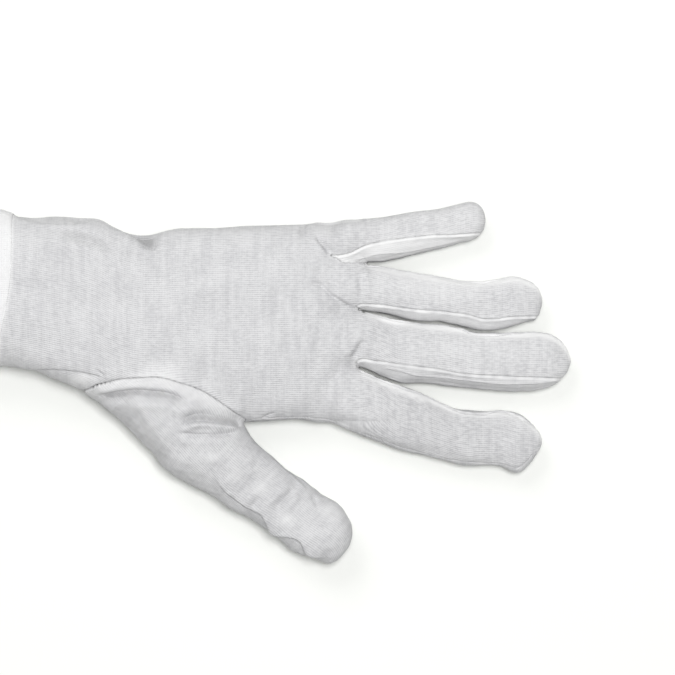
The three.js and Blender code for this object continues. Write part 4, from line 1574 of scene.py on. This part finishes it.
def knit_loops(tree, wales, along, across):
    """How high the columns of loops and the rows across them stand."""
    ridge = add(tree, "ShaderNodeTexWave", {
        "Vector": wales, "Scale": 2 * math.pi / (WAVE_FACTOR * WALE), "Distortion": 0.35,
        "Detail": 1.0, "Detail Scale": 1.2,
    }, wave_type="BANDS", bands_direction="Y", wave_profile="SIN").outputs["Fac"]
    column = add(tree, "ShaderNodeMath", {0: across, 1: WALE}, operation="DIVIDE")
    zigzag = add(tree, "ShaderNodeMath", {0: column.outputs[0], 1: 0.5}, operation="PINGPONG")
    row = add(tree, "ShaderNodeMath", {
        0: along, 1: 1 / COURSE, 2: zigzag.outputs[0],
    }, operation="MULTIPLY_ADD")
    turns = add(tree, "ShaderNodeMath", {0: row.outputs[0], 1: 2 * math.pi}, operation="MULTIPLY")
    loop = add(tree, "ShaderNodeMath", {0: turns.outputs[0]}, operation="COSINE")
    return ridge, loop.outputs[0]


print("columns of loops across 10 mm:", round(10 / WALE, 1))

# %% [markdown]
# ## Uneven yarn
# Spun cotton is thick and thin, which reads as short soft dashes along the wales. Where the
# stretched cloth rolls there are soft upright streaks. Clouds change the tone over a centimetre,
# and fuzz roughens it over less than a millimetre. Each is a noise of its own. Dashes and streaks
# are noises stretched one way.


# %% Yarn, streaks, clouds and fuzz
CLOUDS, TUFTS = 90.0, 1500.0  # in a metre


def uneven_yarn(tree, wales):
    """Noise for the thick and thin yarn, for streaks, for clouds and for fuzz."""
    places = add(tree, "ShaderNodeTexCoord").outputs["Object"]
    stretched = add(tree, "ShaderNodeVectorMath", {
        0: wales, 1: (0.4, 1.0, 1.0),
    }, operation="MULTIPLY")
    yarn = add(tree, "ShaderNodeTexNoise", {
        "Vector": stretched.outputs[0], "Scale": 0.95, "Detail": 2.0, "Roughness": 0.6,
    })
    upright = add(tree, "ShaderNodeVectorMath", {
        0: wales, 1: (1.0, 0.16, 1.0),
    }, operation="MULTIPLY")
    streak = add(tree, "ShaderNodeTexNoise", {
        "Vector": upright.outputs[0], "Scale": 0.42, "Detail": 2.0, "Roughness": 0.5,
    })
    cloud = add(tree, "ShaderNodeTexNoise", {
        "Vector": places, "Scale": CLOUDS, "Detail": 3.0, "Roughness": 0.55,
    })
    fuzz = add(tree, "ShaderNodeTexNoise", {
        "Vector": places, "Scale": TUFTS, "Detail": 2.0, "Roughness": 0.7,
    })
    return [noise.outputs["Fac"] for noise in (yarn, streak, cloud, fuzz)]


print("a cloud is about", round(1000 / CLOUDS), "mm wide, a tuft", round(1000 / TUFTS, 1), "mm")

# %% [markdown]
# ## Height and tone of the cloth
# The same patterns serve twice. As a height they tilt the light in the bump node. As a tone they
# choose between the yarn's colour and a shade of it, because in a hollow between two loops light is
# lost. On the fingers the cloth is less stretched, so the dashes are stronger there.


# %% Height and tone
LOOP_HEIGHT, YARN_HEIGHT, FUZZ_HEIGHT = 0.1, 1.6, 0.7  # shares in the height
STREAK_TONE, CLOUD_TONE, DASH_TONE = 1.3, 0.7, 1.2  # shares in the tone, the last on the fingers


def cloth_height(tree, loops, uneven):
    """Height of the cloth's surface."""
    ridge, loop = loops
    yarn, _, cloud, fuzz = uneven
    raised = add(tree, "ShaderNodeMath", {0: ridge, 1: cloud}, operation="MULTIPLY")
    height = add(tree, "ShaderNodeMath", {
        0: raised.outputs[0], 1: 1.6, 2: -0.8,
    }, operation="MULTIPLY_ADD")
    for part, share in ((loop, LOOP_HEIGHT), (yarn, YARN_HEIGHT), (fuzz, FUZZ_HEIGHT)):
        height = add(tree, "ShaderNodeMath", {
            0: part, 1: share, 2: height.outputs[0],
        }, operation="MULTIPLY_ADD")
    return height.outputs[0]


def cloth_tone(tree, height, uneven, along):
    """Tone from 0, shade, to 1, full colour."""
    yarn, streak, cloud, _ = uneven
    slack = add(tree, "ShaderNodeMapRange", {
        "Value": along, "From Min": 150.0, "From Max": 170.0, "To Max": DASH_TONE,
    })
    dashes = add(tree, "ShaderNodeMath", {0: yarn, 1: 0.5}, operation="SUBTRACT")
    tone = add(tree, "ShaderNodeMath", {
        0: dashes.outputs[0], 1: slack.outputs[0], 2: height,
    }, operation="MULTIPLY_ADD")
    for part, share in ((streak, STREAK_TONE), (cloud, CLOUD_TONE)):
        tone = add(tree, "ShaderNodeMath", {
            0: part, 1: share, 2: tone.outputs[0],
        }, operation="MULTIPLY_ADD")
    spread_out = add(tree, "ShaderNodeMapRange", {
        "Value": tone.outputs[0], "From Min": 0.95, "From Max": 2.3,
    })
    return spread_out.outputs[0]


print("share of the yarn in the height:", YARN_HEIGHT, "and of streaks in the tone:", STREAK_TONE)

# %% [markdown]
# ## Finish: bleached cotton jersey
# The cloth is fine combed cotton, knitted and bleached: matt, faintly fuzzy, a cool white.
# Cotton's IOR is near 1.5, but so rough a cloth has hardly any gloss. A little sheen stands for
# the fuzz. The colours are light greys, because the light on them is bright. The strips are
# smoother, and the hem is whiter, because two layers let less of what is behind them show.


# %% Cotton jersey
def cotton_jersey(name, colour, shade, clear, relief_depth=0.1):
    """Jersey: colour of the loops, painted shade between them, and the whiter colour over turned
    edges and for painted highlights.
    """
    material = bpy.data.materials.new(name)
    material.use_nodes = True
    tree = material.node_tree
    tree.nodes.clear()
    wales = add(tree, "ShaderNodeAttribute", attribute_name="wales").outputs["Vector"]
    layers_and_highlight = add(tree, "ShaderNodeAttribute", attribute_name="doubled_and_highlight").outputs["Fac"]
    along, across, dark = add(tree, "ShaderNodeSeparateXYZ", {0: wales}).outputs
    uneven = uneven_yarn(tree, wales)
    height = cloth_height(tree, knit_loops(tree, wales, along, across), uneven)
    bump = add(tree, "ShaderNodeBump", {
        "Height": height, "Strength": 1.0, "Distance": relief_depth * 0.001,
    })
    blend = add(tree, "ShaderNodeMix", {
        "Factor": cloth_tone(tree, height, uneven, along), "A": srgb(shade), "B": srgb(colour),
    }, data_type="RGBA")
    # whiter over turned edges, and painted highlights where the white share says so
    lighter = add(tree, "ShaderNodeMix", {
        "Factor": layers_and_highlight, "A": blend.outputs["Result"], "B": srgb(clear),
    }, data_type="RGBA")
    # painted shade: towards near black in deep folds, creases, seam grooves and pits, and a little
    # on the index finger and the thumb
    with_painted_shade = add(tree, "ShaderNodeMix", {
        "Factor": dark, "A": lighter.outputs["Result"], "B": srgb("#1c1c1e"),
    }, data_type="RGBA")
    shader = add(tree, "ShaderNodeBsdfPrincipled", {
        "Base Color": with_painted_shade.outputs["Result"], "Normal": bump.outputs[0],
        "Roughness": 0.95, "IOR": 1.45, "Specular IOR Level": 0.2,
        "Sheen Weight": 0.05, "Sheen Roughness": 0.5,
    })
    add(tree, "ShaderNodeOutputMaterial", {"Surface": shader.outputs[0]})
    print(name, "has", len(tree.nodes), "nodes")
    return material


jersey = cotton_jersey("cotton_jersey_bleached", "#d6d6d7", "#b8b8ba", "#ececec")
strip_jersey = cotton_jersey("cotton_jersey_strip", "#d2d2d3", "#bdbdbf", "#e8e8e8", 0.06)
hem_jersey = cotton_jersey("cotton_jersey_hem", "#dadadb", "#c9c9cb", "#ececec")

# %% [markdown]
# ## Dressing
# Each piece gets its cloth, stands for its solid in the plain model, and rides on the part's one
# body. The table also gives a slot name with each material, which nothing here reads.

# %% Dress the pieces
SLOTS = {
    "palm_panel": ("knit_cloth", jersey),
    "back_panel": ("knit_cloth", jersey),
    "thumb": ("knit_cloth", jersey),
    "cuff_hem": ("hem_cloth", hem_jersey),
    "fourchette_ring_little": ("strip_cloth", strip_jersey),
    "fourchette_middle_ring": ("strip_cloth", strip_jersey),
    "fourchette_index_middle": ("strip_cloth", strip_jersey),
}
for node, (slot, material) in SLOTS.items():
    piece = made["cloth_" + node]
    piece.data.materials.append(material)
    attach(piece, "root")
    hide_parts(node)
print("pieces:", ", ".join(sorted(made)))

# %% [markdown]
# ## Floor and light
# The glove lies on white paper, as product pictures are taken. One bright lamp hangs nearly
# overhead. A broad faint one stands on the little finger's side, and a little light comes from all
# round. The paper comes out just white, the cloth light grey, and only thin shadows show where the
# glove touches the table.

# %% Floor
FLOOR_HALF = 6.0  # m
FLOOR_DROP = 0.0003  # just below the glove, so that the two don't flicker
corners = [(-1, -1), (1, -1), (1, 1), (-1, 1)]
floor_mesh = bpy.data.meshes.new("floor")
floor_mesh.from_pydata(
    [(FLOOR_HALF * x, FLOOR_HALF * y, -FLOOR_DROP) for x, y in corners], [], [(0, 1, 2, 3)]
)
floor = bpy.data.objects.new("floor", floor_mesh)
bpy.context.scene.collection.objects.link(floor)
paper = bpy.data.materials.new("white_paper")
paper.use_nodes = True
paper.node_tree.nodes.clear()
paper_shader = add(paper.node_tree, "ShaderNodeBsdfPrincipled", {
    "Base Color": srgb("#f0f1ee"), "Roughness": 1.0, "Specular IOR Level": 0.0,
})
add(paper.node_tree, "ShaderNodeOutputMaterial", {"Surface": paper_shader.outputs[0]})
floor.data.materials.append(paper)
print("floor", 2 * FLOOR_HALF, "m wide")

# %% Light
TENT_STRENGTH = 0.28
world = bpy.data.worlds.new("light_tent")
world.use_nodes = True
world.node_tree.nodes["Background"].inputs["Color"].default_value = (1.0, 1.0, 1.0, 1.0)
world.node_tree.nodes["Background"].inputs["Strength"].default_value = TENT_STRENGTH
bpy.context.scene.world = world

lamps = [
    # name, watts, width and place in metres
    ("side_softbox", 6.0, 0.8, (-0.5, 0.9, 1.3)),
    ("top_softbox", 25.0, 0.4, (0.15, 0.12, 1.8)),
]
for name, watts, width, place in lamps:
    lamp_data = bpy.data.lights.new(name, "AREA")
    lamp_data.shape = "SQUARE"
    lamp_data.size = width
    lamp_data.energy = watts
    lamp = bpy.data.objects.new(name, lamp_data)
    lamp.location = place
    lamp.rotation_euler = Vector(place).to_track_quat("Z", "Y").to_euler()
    bpy.context.scene.collection.objects.link(lamp)
    print(name, watts, "W,", width, "m wide")
bpy.context.scene.view_settings.view_transform = "Standard"

# %% [markdown]
